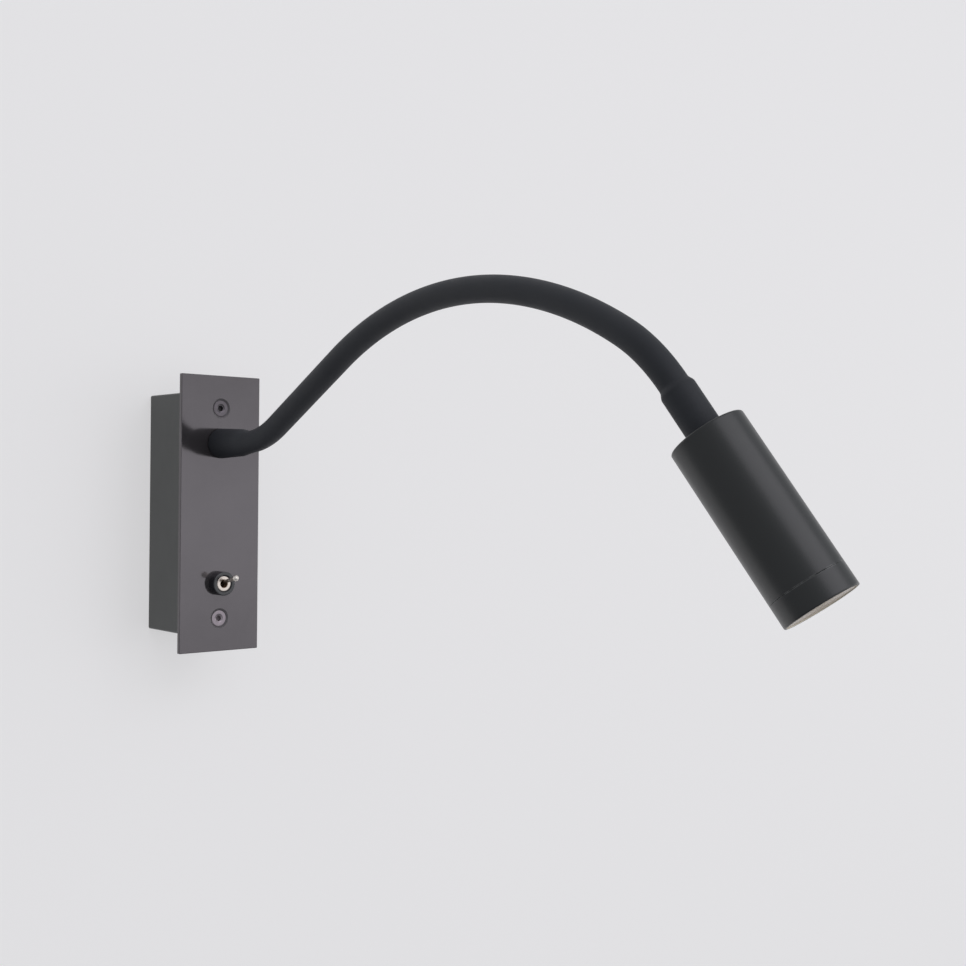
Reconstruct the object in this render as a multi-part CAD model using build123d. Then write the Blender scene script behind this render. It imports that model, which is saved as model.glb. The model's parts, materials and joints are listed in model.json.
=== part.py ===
from build123d import *
import os
from math import acos, asin, cos, radians, sin, sqrt

# Bedside wall reading lamp: a deep back box on the wall, a screwed front plate with a toggle
# switch, a rubber-sleeved gooseneck arm and a small round LED head.
#
# Millimetres. The origin is the centre of the back box's rear face, on the wall. +Z is up and
# -Y points out into the room.
#
# The arm can be bent anywhere along its length. It is built as one flexible stretch cut into
# equal elements, each turning at its own middle, so that every cut is a ball in a seat.

# ---------------------------------------------------------------- back box
box_width = 43.0
box_height = 139.0
box_depth = 43.5
box_wall = 1.5
wall_screw_pitch = 104.0
wall_screw_hole = 5.0
lug_width = 20.0
lug_reach = 12.0
lug_thickness = 2.0
lug_nut_flats = 8.0
lug_nut_height = 4.0

# ---------------------------------------------------------------- front plate
plate_width = 51.0
plate_height = 160.0
plate_thickness = 2.5
plate_edge_break = 0.3
cover_screw_inset = 8.5
cover_screw_diameter = 5.0
cover_screw_head = 10.0
cover_screw_length = 16.0
countersink_ring = 11.2
socket_flats = 3.0
socket_depth = 1.9

# ---------------------------------------------------------------- cable entry and terminals
grommet_bore = 6.0
grommet_neck = 9.0
grommet_flange = 12.0
grommet_flange_thickness = 2.0
terminal_width = 24.0
terminal_height = 14.0
terminal_depth = 13.0
terminal_poles = 3
terminal_pole_pitch = 8.0
terminal_screw_diameter = 3.4
terminal_screw_depth = 4.0
terminal_screw_pitch = 7.2
terminal_wire_way = 3.0
terminal_wire_height = 6.5
part_spacing = 2.0
lead_room = 11.0

# ---------------------------------------------------------------- LED driver
driver_width = 26.0
driver_height = 38.0
driver_depth = 18.0
driver_wall = 1.2
driver_lid_thickness = 1.5
driver_pad_thickness = 0.8
driver_centre_height = -14.0
board_thickness = 1.6
board_post_height = 1.6
board_post_diameter = 2.6
transformer_width = 12.0
transformer_height = 12.0
transformer_depth = 8.0
transformer_core_width = 4.0
big_capacitor_diameter = 8.0
small_capacitor_diameter = 5.0
capacitor_length = 8.5
component_gap = 0.6

# ---------------------------------------------------------------- wiring
wire_diameter = 1.8
wire_bend = 3.6
wire_margin = 3.5
lead_diameter = 3.2
lead_bend = 6.0
wire_insertion = 4.0
earth_screw_diameter = 4.0
earth_head_diameter = 7.0
earth_head_height = 2.6
earth_tag_diameter = 7.4
earth_tag_thickness = 0.8
earth_barrel_length = 5.0
earth_screw_height = -43.0
earth_cross_span = 4.8
screw_groove_width = 0.7
screw_groove_depth = 0.9

# ---------------------------------------------------------------- toggle switch
switch_height = -40.6
bush_diameter = 9.0
bush_bore = 5.0
ring_nut_diameter = 13.8
ring_nut_length = 5.6
ring_nut_edge = 0.9
ring_nut_dish = 0.5
lock_washer_thickness = 0.8
lock_washer_diameter = 14.0
switch_nut_flats = 13.0
switch_nut_height = 2.2
switch_width = 15.0
switch_tall = 16.0
switch_depth = 15.0
switch_wall = 1.6
blade_width = 4.5
blade_thickness = 0.8
blade_length = 6.0
blade_pitch = 10.0
lever_tilt = 12.5
lever_pivot_proud = 0.2
lever_ball = 4.6
lever_neck = 2.0
lever_neck_length = 8.0
lever_tip = 3.6
lever_blend_angle = 60.0
lever_reach = 18.2
lever_tail = 1.4
lever_tail_length = 10.0

# ---------------------------------------------------------------- arm
arm_height = 40.6
core_diameter = 9.4
core_bore = 4.6
sleeve_wall = 1.5
root_barrel_diameter = 12.4
root_barrel_length = 22.0
root_taper = 6.0
root_flare = 0.9
head_barrel_diameter = 11.8
head_barrel_length = 20.0
head_taper = 3.5
stud_diameter = 10.0
stud_bore = 4.2
root_stud_length = 12.5
socket_floor = 3.5
arm_nut_flats = 14.0
arm_nut_height = 4.0
arm_washer_diameter = 15.0
arm_washer_thickness = 1.0
flex_elements = 6

# The arm's bends as it was left: the length of each stretch, then how far it climbs above the
# horizontal at its end, in degrees. The last bend also swings toward +X.
first_bend_length = 34.0
first_climb_angle = 28.7
rising_length = 67.8
crest_length = 128.0
crest_climb_angle = -8.1
falling_length = 79.4
falling_climb_angle = -29.7
last_bend_length = 32.0
head_climb_angle = -55.2
head_swing_angle = 20.8

# ---------------------------------------------------------------- lamp head
head_diameter = 32.0
head_length = 78.0
head_wall = 2.2
head_back_wall = 3.0
head_edge = 0.5
bezel_length = 10.0
bezel_lip = 0.9
spigot_wall = 1.0
spigot_length = 4.0
head_stud_length = 9.0
lens_thickness = 3.6
lens_recess = 0.4
ledge_thickness = 1.7
ledge_width = 2.2
sink_length = 32.0
sink_flange = 6.0
sink_core_diameter = 11.0
fin_count = 8
fin_slot = 2.6
led_board_diameter = 22.0
led_board_thickness = 1.6
emitter_size = 7.0
emitter_thickness = 0.8
emitter_dome = 2.6
emitter_dome_height = 0.5
board_screw_diameter = 2.4
board_screw_head = 4.2
board_screw_head_height = 1.3
board_screw_length = 7.0
board_screw_radius = 8.5
reflector_wall = 0.8
reflector_throat = 10.0
reflector_standoff = 1.4
reflector_rim = 1.2

# ---------------------------------------------------------------- clearances
fit_gap = 0.1
thread_gap = 0.05
joint_gap = 0.4
seat_gap = 0.3
cut_past = 1.0

# ---------------------------------------------------------------- worked-out places
plate_back = -box_depth
plate_front = plate_back - plate_thickness
cover_screw_height = box_height / 2 - cover_screw_inset
floor_front = -box_wall
half_room_x = box_width / 2 - box_wall
half_room_z = box_height / 2 - box_wall

sleeve_radius = core_diameter / 2 + fit_gap + sleeve_wall
sleeve_bore = core_diameter / 2 + fit_gap
root_straight = root_barrel_length + root_taper
head_straight = head_barrel_length + head_taper

driver_top = driver_centre_height + driver_height / 2
driver_bottom = driver_centre_height - driver_height / 2
driver_back = floor_front - driver_pad_thickness
driver_front = driver_back - driver_depth
terminal_bottom = driver_top + lead_room
terminal_centre = terminal_bottom + terminal_height / 2
grommet_height = terminal_bottom + terminal_height + part_spacing + grommet_flange / 2

wire_plane = floor_front - terminal_wire_height
lead_plane = min(floor_front - terminal_depth - part_spacing, wire_plane - wire_diameter - lead_diameter)
live_side = -(half_room_x - wire_margin)
earth_side = half_room_x - max(wire_margin, earth_tag_diameter / 2 + seat_gap)
turn_height = terminal_bottom - lead_room / 2

switch_front = plate_back + lock_washer_thickness + switch_nut_height
switch_back = switch_front + switch_depth
blade_end = switch_back + blade_length
bush_front = plate_front - ring_nut_length + ring_nut_dish


def facing_room(y, x=0.0, z=0.0):
    """A plane whose own +Z points out into the room, through the given place."""
    return Plane(origin=(x, y, z), x_dir=(1, 0, 0), z_dir=(0, -1, 0))


def round_bar(plane, diameter, length, bore=0.0):
    """A round bar standing on the plane, bored through where a bore is given."""
    section = Circle(diameter / 2)
    if bore:
        section -= Circle(bore / 2)
    return extrude(plane * section, length)


def hex_nut(plane, flats, height, bore):
    """A six-sided nut standing on the plane."""
    section = RegularPolygon(flats / sqrt(3), 6) - Circle(bore / 2)
    return extrude(plane * section, height)


def block(low, high):
    """A rectangular block between two opposite corners."""
    size = [far - near for near, far in zip(low, high)]
    centre = [(far + near) / 2 for near, far in zip(low, high)]
    return Pos(*centre) * Box(*size)


def turned(points):
    """A solid turned about Z from its outline, given as (radius, height) points."""
    outline = Polyline(*[(radius, 0, height) for radius, height in points], close=True)
    return revolve(make_face(outline.edges()), Axis.Z)


def wire_along(points, diameter, bend):
    """A wire along straight runs with rounded corners."""
    if len(points) == 2:
        route = Line(*points)
    else:
        route = FilletPolyline(*points, radius=bend)
    start = Vector(*points[0])
    section = Plane(origin=start, z_dir=Vector(*points[1]) - start) * Circle(diameter / 2)
    return sweep(section, path=route)


def save(name, *solids):
    """Writes one named node, with one solid or a group of equal ones."""
    shape = solids[0] if len(solids) == 1 else Compound(children=list(solids))
    export_step(shape, f"parts/{name}.step")


# ---------------------------------------------------------------- the arm's centreline
def heading(climb, swing=0.0):
    """The direction that leaves the wall, lifted by climb and turned toward +X by swing."""
    up = radians(climb)
    side = radians(swing)
    return Vector(sin(side) * cos(up), -cos(side) * cos(up), sin(up))


class Stretch:
    """One straight or evenly curved stretch of the arm's centreline."""

    def __init__(self, start, before, after, length):
        self.start = start
        self.before = before
        self.length = length
        self.turn = acos(max(-1.0, min(1.0, before.dot(after))))
        self.bent = self.turn > 1e-6
        self.inward = (after - before * before.dot(after)).normalized() if self.bent else before

    def point(self, travel):
        if not self.bent:
            return self.start + self.before * travel
        radius = self.length / self.turn
        angle = travel / radius
        return self.start + self.before * (radius * sin(angle)) + self.inward * (radius * (1 - cos(angle)))

    def tangent(self, travel):
        if not self.bent:
            return self.before
        angle = self.turn * travel / self.length
        return self.before * cos(angle) + self.inward * sin(angle)

    def edge(self, first, last):
        if not self.bent:
            return Edge.make_line(self.point(first), self.point(last))
        middle = self.point((first + last) / 2)
        return Edge.make_three_point_arc(self.point(first), middle, self.point(last))


def lay_arm():
    """The stretches of the centreline, from the plate's face to the back of the head."""
    bends = [
        (root_straight, heading(0)),
        (first_bend_length, heading(first_climb_angle)),
        (rising_length, heading(first_climb_angle)),
        (crest_length, heading(crest_climb_angle)),
        (falling_length, heading(falling_climb_angle)),
        (last_bend_length, heading(head_climb_angle, head_swing_angle)),
        (head_straight, heading(head_climb_angle, head_swing_angle)),
    ]
    stretches = []
    place = Vector(0, plate_front, arm_height)
    direction = heading(0)
    for length, after in bends:
        stretch = Stretch(place, direction, after, length)
        stretches.append(stretch)
        place = stretch.point(length)
        direction = after
    return stretches


arm = lay_arm()
arm_length = sum(stretch.length for stretch in arm)
element = (arm_length - root_straight - head_straight) / flex_elements
joint_stations = [root_straight + element * (index + 0.5) for index in range(flex_elements)]


def stretch_at(station):
    """The stretch that holds a station, and how far along it the station lies."""
    travelled = 0.0
    for stretch in arm[:-1]:
        if station < travelled + stretch.length:
            return stretch, station - travelled
        travelled += stretch.length
    return arm[-1], station - travelled


def arm_plane(station):
    """The plane across the arm at a station, with its own +Z along the arm."""
    stretch, travel = stretch_at(station)
    tangent = stretch.tangent(travel)
    side = Vector(1, 0, 0) - tangent * tangent.X
    return Plane(origin=stretch.point(travel), x_dir=side, z_dir=tangent)


def arm_route(first, last):
    """The centreline between two stations. It runs on straight past either end of the arm."""
    edges = []
    travelled = 0.0
    for index, stretch in enumerate(arm):
        low = first if index == 0 else max(first, travelled)
        high = last if stretch is arm[-1] else min(last, travelled + stretch.length)
        if high - low > 1e-6:
            edges.append(stretch.edge(low - travelled, high - travelled))
        travelled += stretch.length
    return Wire(edges)


def arm_tube(first, last, diameter, bore=0.0):
    """A round tube, or a bar where no bore is given, along the arm between two stations."""
    section = Circle(diameter / 2)
    if bore:
        section -= Circle(bore / 2)
    return sweep(arm_plane(first) * section, path=arm_route(first, last))


def joint_cap(station, diameter, bore=0.0):
    """The rounded end of one layer of the arm, past the station that it turns about."""
    ball = sleeve_radius
    outer = diameter / 2
    inner = bore / 2
    wide = asin(min(1.0, outer / ball))
    narrow = asin(inner / ball)
    middle = (wide + narrow) / 2
    shoulder = (outer, 0, ball * cos(wide))
    crown = (inner, 0, ball * cos(narrow))
    through = (ball * sin(middle), 0, ball * cos(middle))
    edges = [Edge.make_line((inner, 0, 0), (outer, 0, 0)), Edge.make_line(crown, (inner, 0, 0))]
    if shoulder[2] > 1e-6:
        edges.append(Edge.make_line((outer, 0, 0), shoulder))
        edges.append(Edge.make_three_point_arc(shoulder, through, crown))
    else:
        edges.append(Edge.make_three_point_arc((outer, 0, 0), through, crown))
    return arm_plane(station) * revolve(Face(Wire(edges)), Axis.Z)


def joint_seat(station):
    """The hollow that the next element of the arm turns in."""
    return arm_plane(station) * Sphere(sleeve_radius + joint_gap)


def arm_layers():
    """Diameter and bore of each layer of the flexible stretch, from the outside in."""
    return {
        "sleeve": (2 * sleeve_radius, 2 * sleeve_bore),
        "gooseneck": (core_diameter, core_bore),
        "lead": (lead_diameter, 0.0),
    }


def barrel_cover(barrel_diameter, barrel_length, taper, flare=0.0):
    """The sleeve where it is stretched over a ferrule's barrel, standing up from the XY plane.

    It widens by the flare toward the barrel's shoulder.
    """
    bore = barrel_diameter / 2 + fit_gap
    outside = bore + sleeve_wall
    full = barrel_length + taper
    return turned([
        (bore, seat_gap),
        (outside + flare, seat_gap),
        (outside, barrel_length),
        (sleeve_radius, full),
        (sleeve_bore, full),
        (bore, barrel_length + seat_gap),
    ])


def ferrule(face, barrel_diameter, barrel_length, stud_length):
    """A ferrule: a socket for the gooseneck on one side of a face, a hollow stud on the other."""
    body = round_bar(face, barrel_diameter, barrel_length)
    body += round_bar(face, stud_diameter, -stud_length)
    body -= round_bar(face.offset(socket_floor), core_diameter + 2 * fit_gap, barrel_length)
    return body - round_bar(face.offset(-stud_length), stud_bore, stud_length + barrel_length)


def make_arm_links():
    """The elements between the first and the last turning point, each with its three layers."""
    for index in range(flex_elements - 1):
        first = joint_stations[index]
        last = joint_stations[index + 1]
        for layer, (diameter, bore) in arm_layers().items():
            piece = arm_tube(first, last, diameter, bore) + joint_cap(last, diameter, bore)
            save(f"{layer}_link_{index + 1}", piece - joint_seat(first))


def make_arm_root():
    """The fixed start of the arm: ferrule, nut and washer, sleeve, gooseneck and LED lead."""
    first_joint = joint_stations[0]
    front = facing_room(plate_front, z=arm_height)
    save("root_ferrule", ferrule(front, root_barrel_diameter, root_barrel_length, root_stud_length))

    behind = facing_room(plate_back + arm_washer_thickness, z=arm_height)
    nut_bore = stud_diameter + 2 * thread_gap
    save("root_lock_washer", round_bar(behind, arm_washer_diameter, arm_washer_thickness, nut_bore))
    save("root_nut", hex_nut(behind.offset(-arm_nut_height), arm_nut_flats, arm_nut_height, nut_bore))

    layers = arm_layers()
    diameter, bore = layers["sleeve"]
    sleeve = front * barrel_cover(root_barrel_diameter, root_barrel_length, root_taper, root_flare)
    sleeve += arm_tube(root_straight, first_joint, diameter, bore)
    save("sleeve_root", sleeve + joint_cap(first_joint, diameter, bore))

    diameter, bore = layers["gooseneck"]
    core = arm_tube(socket_floor, first_joint, diameter, bore)
    save("gooseneck_root", core + joint_cap(first_joint, diameter, bore))

    tail = plate_front + root_stud_length
    lead = arm_tube(-root_stud_length, first_joint, lead_diameter)
    lead += joint_cap(first_joint, lead_diameter)
    end_height = driver_top - driver_wall - wire_diameter
    corner = (0, lead_plane, arm_height)
    route = [(0, tail, arm_height), corner, (0, lead_plane, end_height)]
    save("lead_root", lead + wire_along(route, lead_diameter, lead_bend))


def make_arm_end():
    """The last element of the arm, up to the back of the head."""
    last_joint = joint_stations[-1]
    seat = joint_seat(last_joint)
    back = arm_plane(arm_length)
    facing_arm = Plane(origin=back.origin, x_dir=back.x_dir, z_dir=-back.z_dir)
    layers = arm_layers()

    diameter, bore = layers["sleeve"]
    sleeve = facing_arm * barrel_cover(head_barrel_diameter, head_barrel_length, head_taper)
    sleeve += arm_tube(last_joint, arm_length - head_straight, diameter, bore)
    save("sleeve_end", sleeve - seat)

    diameter, bore = layers["gooseneck"]
    save("gooseneck_end", arm_tube(last_joint, arm_length - socket_floor, diameter, bore) - seat)

    save("lead_end", arm_tube(last_joint, arm_length + sink_top, lead_diameter) - seat)

    save("head_ferrule", ferrule(facing_arm, head_barrel_diameter, head_barrel_length, head_stud_length))


# ---------------------------------------------------------------- heights along the head
head_radius = head_diameter / 2
housing_bore = head_radius - head_wall
seam_height = head_length - bezel_length
spigot_top = seam_height + spigot_length
ledge_low = spigot_top + seat_gap
lens_low = head_length - lens_recess - lens_thickness
lens_radius = head_radius - bezel_lip - fit_gap
reflector_top = ledge_low - seat_gap
sink_top = reflector_top - reflector_rim - sink_length / 2 - reflector_standoff
sink_bottom = sink_top - sink_length


def make_head():
    """The lamp head, built standing up along its own axis and set on the end of the arm."""
    place = arm_plane(arm_length)
    base = Plane.XY

    housing = turned([
        (stud_diameter / 2 + fit_gap, 0),
        (head_radius - head_edge, 0),
        (head_radius, head_edge),
        (head_radius, seam_height),
        (housing_bore + spigot_wall, seam_height),
        (housing_bore + spigot_wall, spigot_top),
        (housing_bore, spigot_top),
        (housing_bore, head_back_wall),
        (stud_diameter / 2 + fit_gap, head_back_wall),
    ])
    save("head_housing", place * housing)

    bore = stud_diameter + 2 * thread_gap
    nut = hex_nut(base.offset(head_back_wall), arm_nut_flats, arm_nut_height, bore)
    save("head_nut", place * nut)

    bezel = turned([
        (housing_bore + spigot_wall + fit_gap, seam_height + thread_gap),
        (head_radius, seam_height + thread_gap),
        (head_radius, head_length - head_edge / 2),
        (head_radius - head_edge / 2, head_length),
        (lens_radius + fit_gap, head_length),
        (lens_radius + fit_gap, lens_low),
        (lens_radius - ledge_width, lens_low),
        (lens_radius - ledge_width, lens_low - ledge_thickness),
        (housing_bore + spigot_wall + fit_gap, lens_low - ledge_thickness),
    ])
    save("bezel_ring", place * bezel)
    save("front_lens", place * round_bar(base.offset(lens_low), 2 * lens_radius, lens_thickness))

    sink = round_bar(base.offset(sink_bottom), 2 * (housing_bore - fit_gap), sink_length)
    slot_low = (sink_core_diameter / 2, -fin_slot / 2, sink_bottom - cut_past)
    slot_high = (housing_bore + cut_past, fin_slot / 2, sink_top - sink_flange)
    for index in range(fin_count):
        sink -= Rot(0, 0, 360 / fin_count * (index + 0.5)) * block(slot_low, slot_high)
    sink -= round_bar(base.offset(sink_bottom), stud_bore, sink_length)
    screw_places = [Pos(board_screw_radius, 0, 0), Pos(-board_screw_radius, 0, 0)]
    board_top = sink_top + led_board_thickness
    screw_low = board_top - board_screw_length
    board = round_bar(base.offset(sink_top), led_board_diameter, led_board_thickness)
    screws = []
    for spot in screw_places:
        hole = round_bar(base.offset(screw_low), board_screw_diameter + 2 * thread_gap, board_screw_length)
        sink -= spot * hole
        board -= spot * hole
        shank = round_bar(base.offset(screw_low), board_screw_diameter, board_screw_length)
        cap = round_bar(base.offset(board_top), board_screw_head, board_screw_head_height)
        screws.append(place * (spot * (shank + cap)))
    save("heat_sink", place * sink)
    save("led_board", place * board)
    save("led_board_screws", *screws)

    half = emitter_size / 2
    carrier = block((-half, -half, board_top), (half, half, board_top + emitter_thickness))
    carrier += round_bar(base.offset(board_top + emitter_thickness), 2 * emitter_dome, emitter_dome_height)
    save("led_emitter", place * carrier)

    throat = reflector_throat / 2
    foot = board_top + reflector_standoff
    mouth = housing_bore - fit_gap - reflector_wall - reflector_rim
    reflector = turned([
        (throat, foot),
        (throat + reflector_wall, foot),
        (mouth + reflector_wall, reflector_top - reflector_rim),
        (housing_bore - fit_gap, reflector_top - reflector_rim),
        (housing_bore - fit_gap, reflector_top),
        (mouth, reflector_top),
    ])
    save("reflector", place * reflector)


# ---------------------------------------------------------------- wall box and front plate
def cover_screw_hole(side):
    """The countersunk hole that a cover screw passes through, in the plate and the lug alike."""
    sink_radius = countersink_ring / 2
    neck_radius = cover_screw_diameter / 2 + fit_gap
    far = plate_thickness + lug_thickness
    hole = turned([
        (0, cut_past), (sink_radius, cut_past), (sink_radius, 0), (neck_radius, neck_radius - sink_radius),
        (neck_radius, -far), (0, -far),
    ])
    return facing_room(plate_front, z=side * cover_screw_height) * hole


def make_wall_box():
    """The back box with its two threaded lugs, and the grommet in its rear wall."""
    outer = block((-box_width / 2, -box_depth, -box_height / 2), (box_width / 2, 0, box_height / 2))
    room_low = (-half_room_x, -box_depth - cut_past, -half_room_z)
    room = block(room_low, (half_room_x, floor_front, half_room_z))
    box = outer - room
    lug_inner = half_room_z - lug_reach
    nuts = []
    for side in (1, -1):
        screw_height = side * cover_screw_height
        low, high = sorted((side * lug_inner, side * half_room_z))
        tab = block((-lug_width / 2, plate_back, low), (lug_width / 2, plate_back + lug_thickness, high))
        behind = facing_room(plate_back + lug_thickness, z=screw_height)
        bore = cover_screw_diameter + 2 * thread_gap
        box += tab - cover_screw_hole(side)
        nuts.append(hex_nut(behind.offset(-lug_nut_height), lug_nut_flats, lug_nut_height, bore))
        box -= round_bar(facing_room(0, z=side * wall_screw_pitch / 2), wall_screw_hole, box_wall)
    box -= round_bar(facing_room(0, z=grommet_height), grommet_neck, box_wall)
    box -= round_bar(facing_room(0, earth_side, earth_screw_height), earth_screw_diameter, box_wall)
    save("back_box", box)
    save("lug_nuts", *nuts)

    grommet = round_bar(facing_room(0, z=grommet_height), grommet_neck - 2 * thread_gap, box_wall)
    grommet += round_bar(facing_room(floor_front, z=grommet_height), grommet_flange, grommet_flange_thickness)
    through = box_wall + grommet_flange_thickness
    save("cable_grommet", grommet - round_bar(facing_room(0, z=grommet_height), grommet_bore, through))


def make_front_plate():
    """The flat plate that closes the box, and the two countersunk screws that hold it."""
    half_x = plate_width / 2
    half_z = plate_height / 2
    plate = block((-half_x, plate_front, -half_z), (half_x, plate_back, half_z))
    plate = chamfer(plate.faces().sort_by(Axis.Y)[0].edges(), plate_edge_break)
    plate -= round_bar(facing_room(plate_back, z=arm_height), stud_diameter + 2 * fit_gap, plate_thickness)
    plate -= round_bar(facing_room(plate_back, z=switch_height), bush_diameter + 2 * fit_gap, plate_thickness)
    shank = cover_screw_diameter / 2
    head = cover_screw_head / 2
    head_drop = countersink_ring / 2 - head
    screws = []
    for side in (1, -1):
        front = facing_room(plate_front, z=side * cover_screw_height)
        plate -= cover_screw_hole(side)
        screw = turned([
            (0, -head_drop), (head, -head_drop), (shank, -head_drop - head + shank),
            (shank, -cover_screw_length), (0, -cover_screw_length),
        ])
        key_outline = Plane.XY.offset(-head_drop) * RegularPolygon(socket_flats / sqrt(3), 6)
        key = extrude(key_outline, -socket_depth)
        screws.append(front * (screw - key))
    save("front_plate", plate)
    save("cover_screws", *screws)


# ---------------------------------------------------------------- inside the box
def pole_places():
    """Where each pole of the terminal block lies across the box."""
    middle = (terminal_poles - 1) / 2
    return [(index - middle) * terminal_pole_pitch for index in range(terminal_poles)]


def make_terminals():
    """The supply terminal block on the rear wall, with its clamp screws."""
    front_y = floor_front - terminal_depth
    top = terminal_bottom + terminal_height
    half = terminal_width / 2
    body = block((-half, front_y, terminal_bottom), (half, floor_front, top))
    screws = []
    for x in pole_places():
        way = Plane(origin=(x, wire_plane, terminal_bottom), z_dir=(0, 0, 1))
        body -= round_bar(way, terminal_wire_way, terminal_height)
        for side in (1, -1):
            z = terminal_centre + side * terminal_screw_pitch / 2
            well = facing_room(front_y + terminal_screw_depth, x, z)
            body -= round_bar(well, terminal_screw_diameter + 2 * fit_gap, terminal_screw_depth)
            screw = round_bar(well, terminal_screw_diameter, terminal_screw_depth - seat_gap)
            half_groove = screw_groove_width / 2
            groove_floor = front_y + seat_gap + screw_groove_depth
            groove = block(
                (x - terminal_screw_diameter, front_y, z - half_groove),
                (x + terminal_screw_diameter, groove_floor, z + half_groove),
            )
            screws.append(screw - groove)
    save("terminal_block", body)
    save("terminal_screws", *screws)


def make_driver():
    """The LED driver: pad, case, lid, circuit board and its larger components."""
    half_x = driver_width / 2
    low = (-half_x, driver_front, driver_bottom)
    high = (half_x, driver_back, driver_top)
    inner_floor = driver_back - driver_wall
    case = block(low, high)
    case -= block(
        (-half_x + driver_wall, driver_front, driver_bottom + driver_wall),
        (half_x - driver_wall, inner_floor, driver_top - driver_wall),
    )
    board_half_x = half_x - driver_wall - seat_gap
    board_low = driver_bottom + driver_wall + seat_gap
    board_high = driver_top - driver_wall - seat_gap
    board_back = inner_floor - board_post_height
    board_front = board_back - board_thickness
    inset = board_post_diameter
    for x in (-board_half_x + inset, board_half_x - inset):
        for z in (board_low + inset, board_high - inset):
            case += round_bar(facing_room(inner_floor, x, z), board_post_diameter, board_post_height)
    upright = Plane(origin=(0, wire_plane, driver_top - driver_wall), z_dir=(0, 0, 1))
    case -= round_bar(upright, wire_diameter + 2 * fit_gap, driver_wall)
    upright = Plane(origin=(0, lead_plane, driver_top - driver_wall), z_dir=(0, 0, 1))
    case -= round_bar(upright, lead_diameter + 2 * fit_gap, driver_wall)
    upright = Plane(origin=(blade_pitch / 2, wire_plane, driver_bottom), z_dir=(0, 0, 1))
    case -= round_bar(upright, wire_diameter + 2 * fit_gap, driver_wall)
    save("driver_case", case)

    lid_front = driver_front - driver_lid_thickness
    lid = block((-half_x, lid_front, driver_bottom), (half_x, driver_front, driver_top))
    save("driver_lid", chamfer(lid.faces().sort_by(Axis.Y)[0].edges(), driver_lid_thickness / 3))
    pad_low = (-half_x + driver_wall, driver_back, driver_bottom + driver_wall)
    pad_high = (half_x - driver_wall, floor_front, driver_top - driver_wall)
    save("driver_pad", block(pad_low, pad_high))
    board_corner = (-board_half_x, board_front, board_low)
    save("driver_board", block(board_corner, (board_half_x, board_back, board_high)))

    centre = driver_centre_height
    left = -board_half_x + component_gap
    frame_low = (left, board_front - transformer_depth, centre - transformer_height / 2)
    frame_high = (left + transformer_width, board_front, centre + transformer_height / 2)
    transformer = block(frame_low, frame_high)
    middle_x = left + transformer_width / 2
    leg = transformer_core_width / 2
    for side in (1, -1):
        edge = centre + side * transformer_height / 2
        reach = sorted((edge, edge + side * component_gap * 2))
        transformer += block(
            (middle_x - leg, board_front - transformer_depth + component_gap, reach[0]),
            (middle_x + leg, board_front, reach[1]),
        )
    save("driver_transformer", transformer)

    side_x = left + transformer_width + component_gap + big_capacitor_diameter / 2
    gap = (big_capacitor_diameter + small_capacitor_diameter) / 4 + component_gap
    cans = []
    for diameter, z in ((big_capacitor_diameter, centre - gap), (small_capacitor_diameter, centre + gap)):
        cans.append(round_bar(facing_room(board_front, side_x, z), diameter, capacitor_length))
    save("driver_capacitors", *cans)


def make_earth_point():
    """The earth screw in the rear wall and the ring tag under its head."""
    spot = facing_room(0, earth_side, earth_screw_height)
    tag_face = floor_front - earth_tag_thickness
    screw = round_bar(spot, earth_screw_diameter - 2 * thread_gap, -tag_face)
    under_head = facing_room(tag_face, earth_side, earth_screw_height)
    screw += round_bar(under_head, earth_head_diameter, earth_head_height)
    top = tag_face - earth_head_height
    for half_x, half_z in ((earth_cross_span, screw_groove_width), (screw_groove_width, earth_cross_span)):
        screw -= block(
            (earth_side - half_x / 2, top, earth_screw_height - half_z / 2),
            (earth_side + half_x / 2, top + screw_groove_depth, earth_screw_height + half_z / 2),
        )
    save("earth_screw", screw)

    ring = facing_room(floor_front, earth_side, earth_screw_height)
    tag = round_bar(ring, earth_tag_diameter, earth_tag_thickness, earth_screw_diameter)
    start = earth_screw_height + earth_tag_diameter / 2 - earth_tag_thickness
    tongue_half = wire_diameter / 2 + earth_tag_thickness
    barrel_low = start + earth_tag_thickness + seat_gap
    tag += block(
        (earth_side - tongue_half, floor_front - earth_tag_thickness, start),
        (earth_side + tongue_half, floor_front, barrel_low + earth_barrel_length),
    )
    barrel = Plane(origin=(earth_side, earth_wire_plane(), barrel_low), z_dir=(0, 0, 1))
    tag += round_bar(barrel, wire_diameter + 2 * earth_tag_thickness, earth_barrel_length)
    tag -= round_bar(barrel.offset(earth_tag_thickness), wire_diameter + 2 * thread_gap, earth_barrel_length)
    tag -= round_bar(ring, earth_screw_diameter, earth_tag_thickness)
    save("earth_tag", tag)


def earth_wire_plane():
    """How far from the wall the earth wire lies where the tag grips it."""
    return floor_front - earth_tag_thickness - wire_diameter / 2


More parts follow.
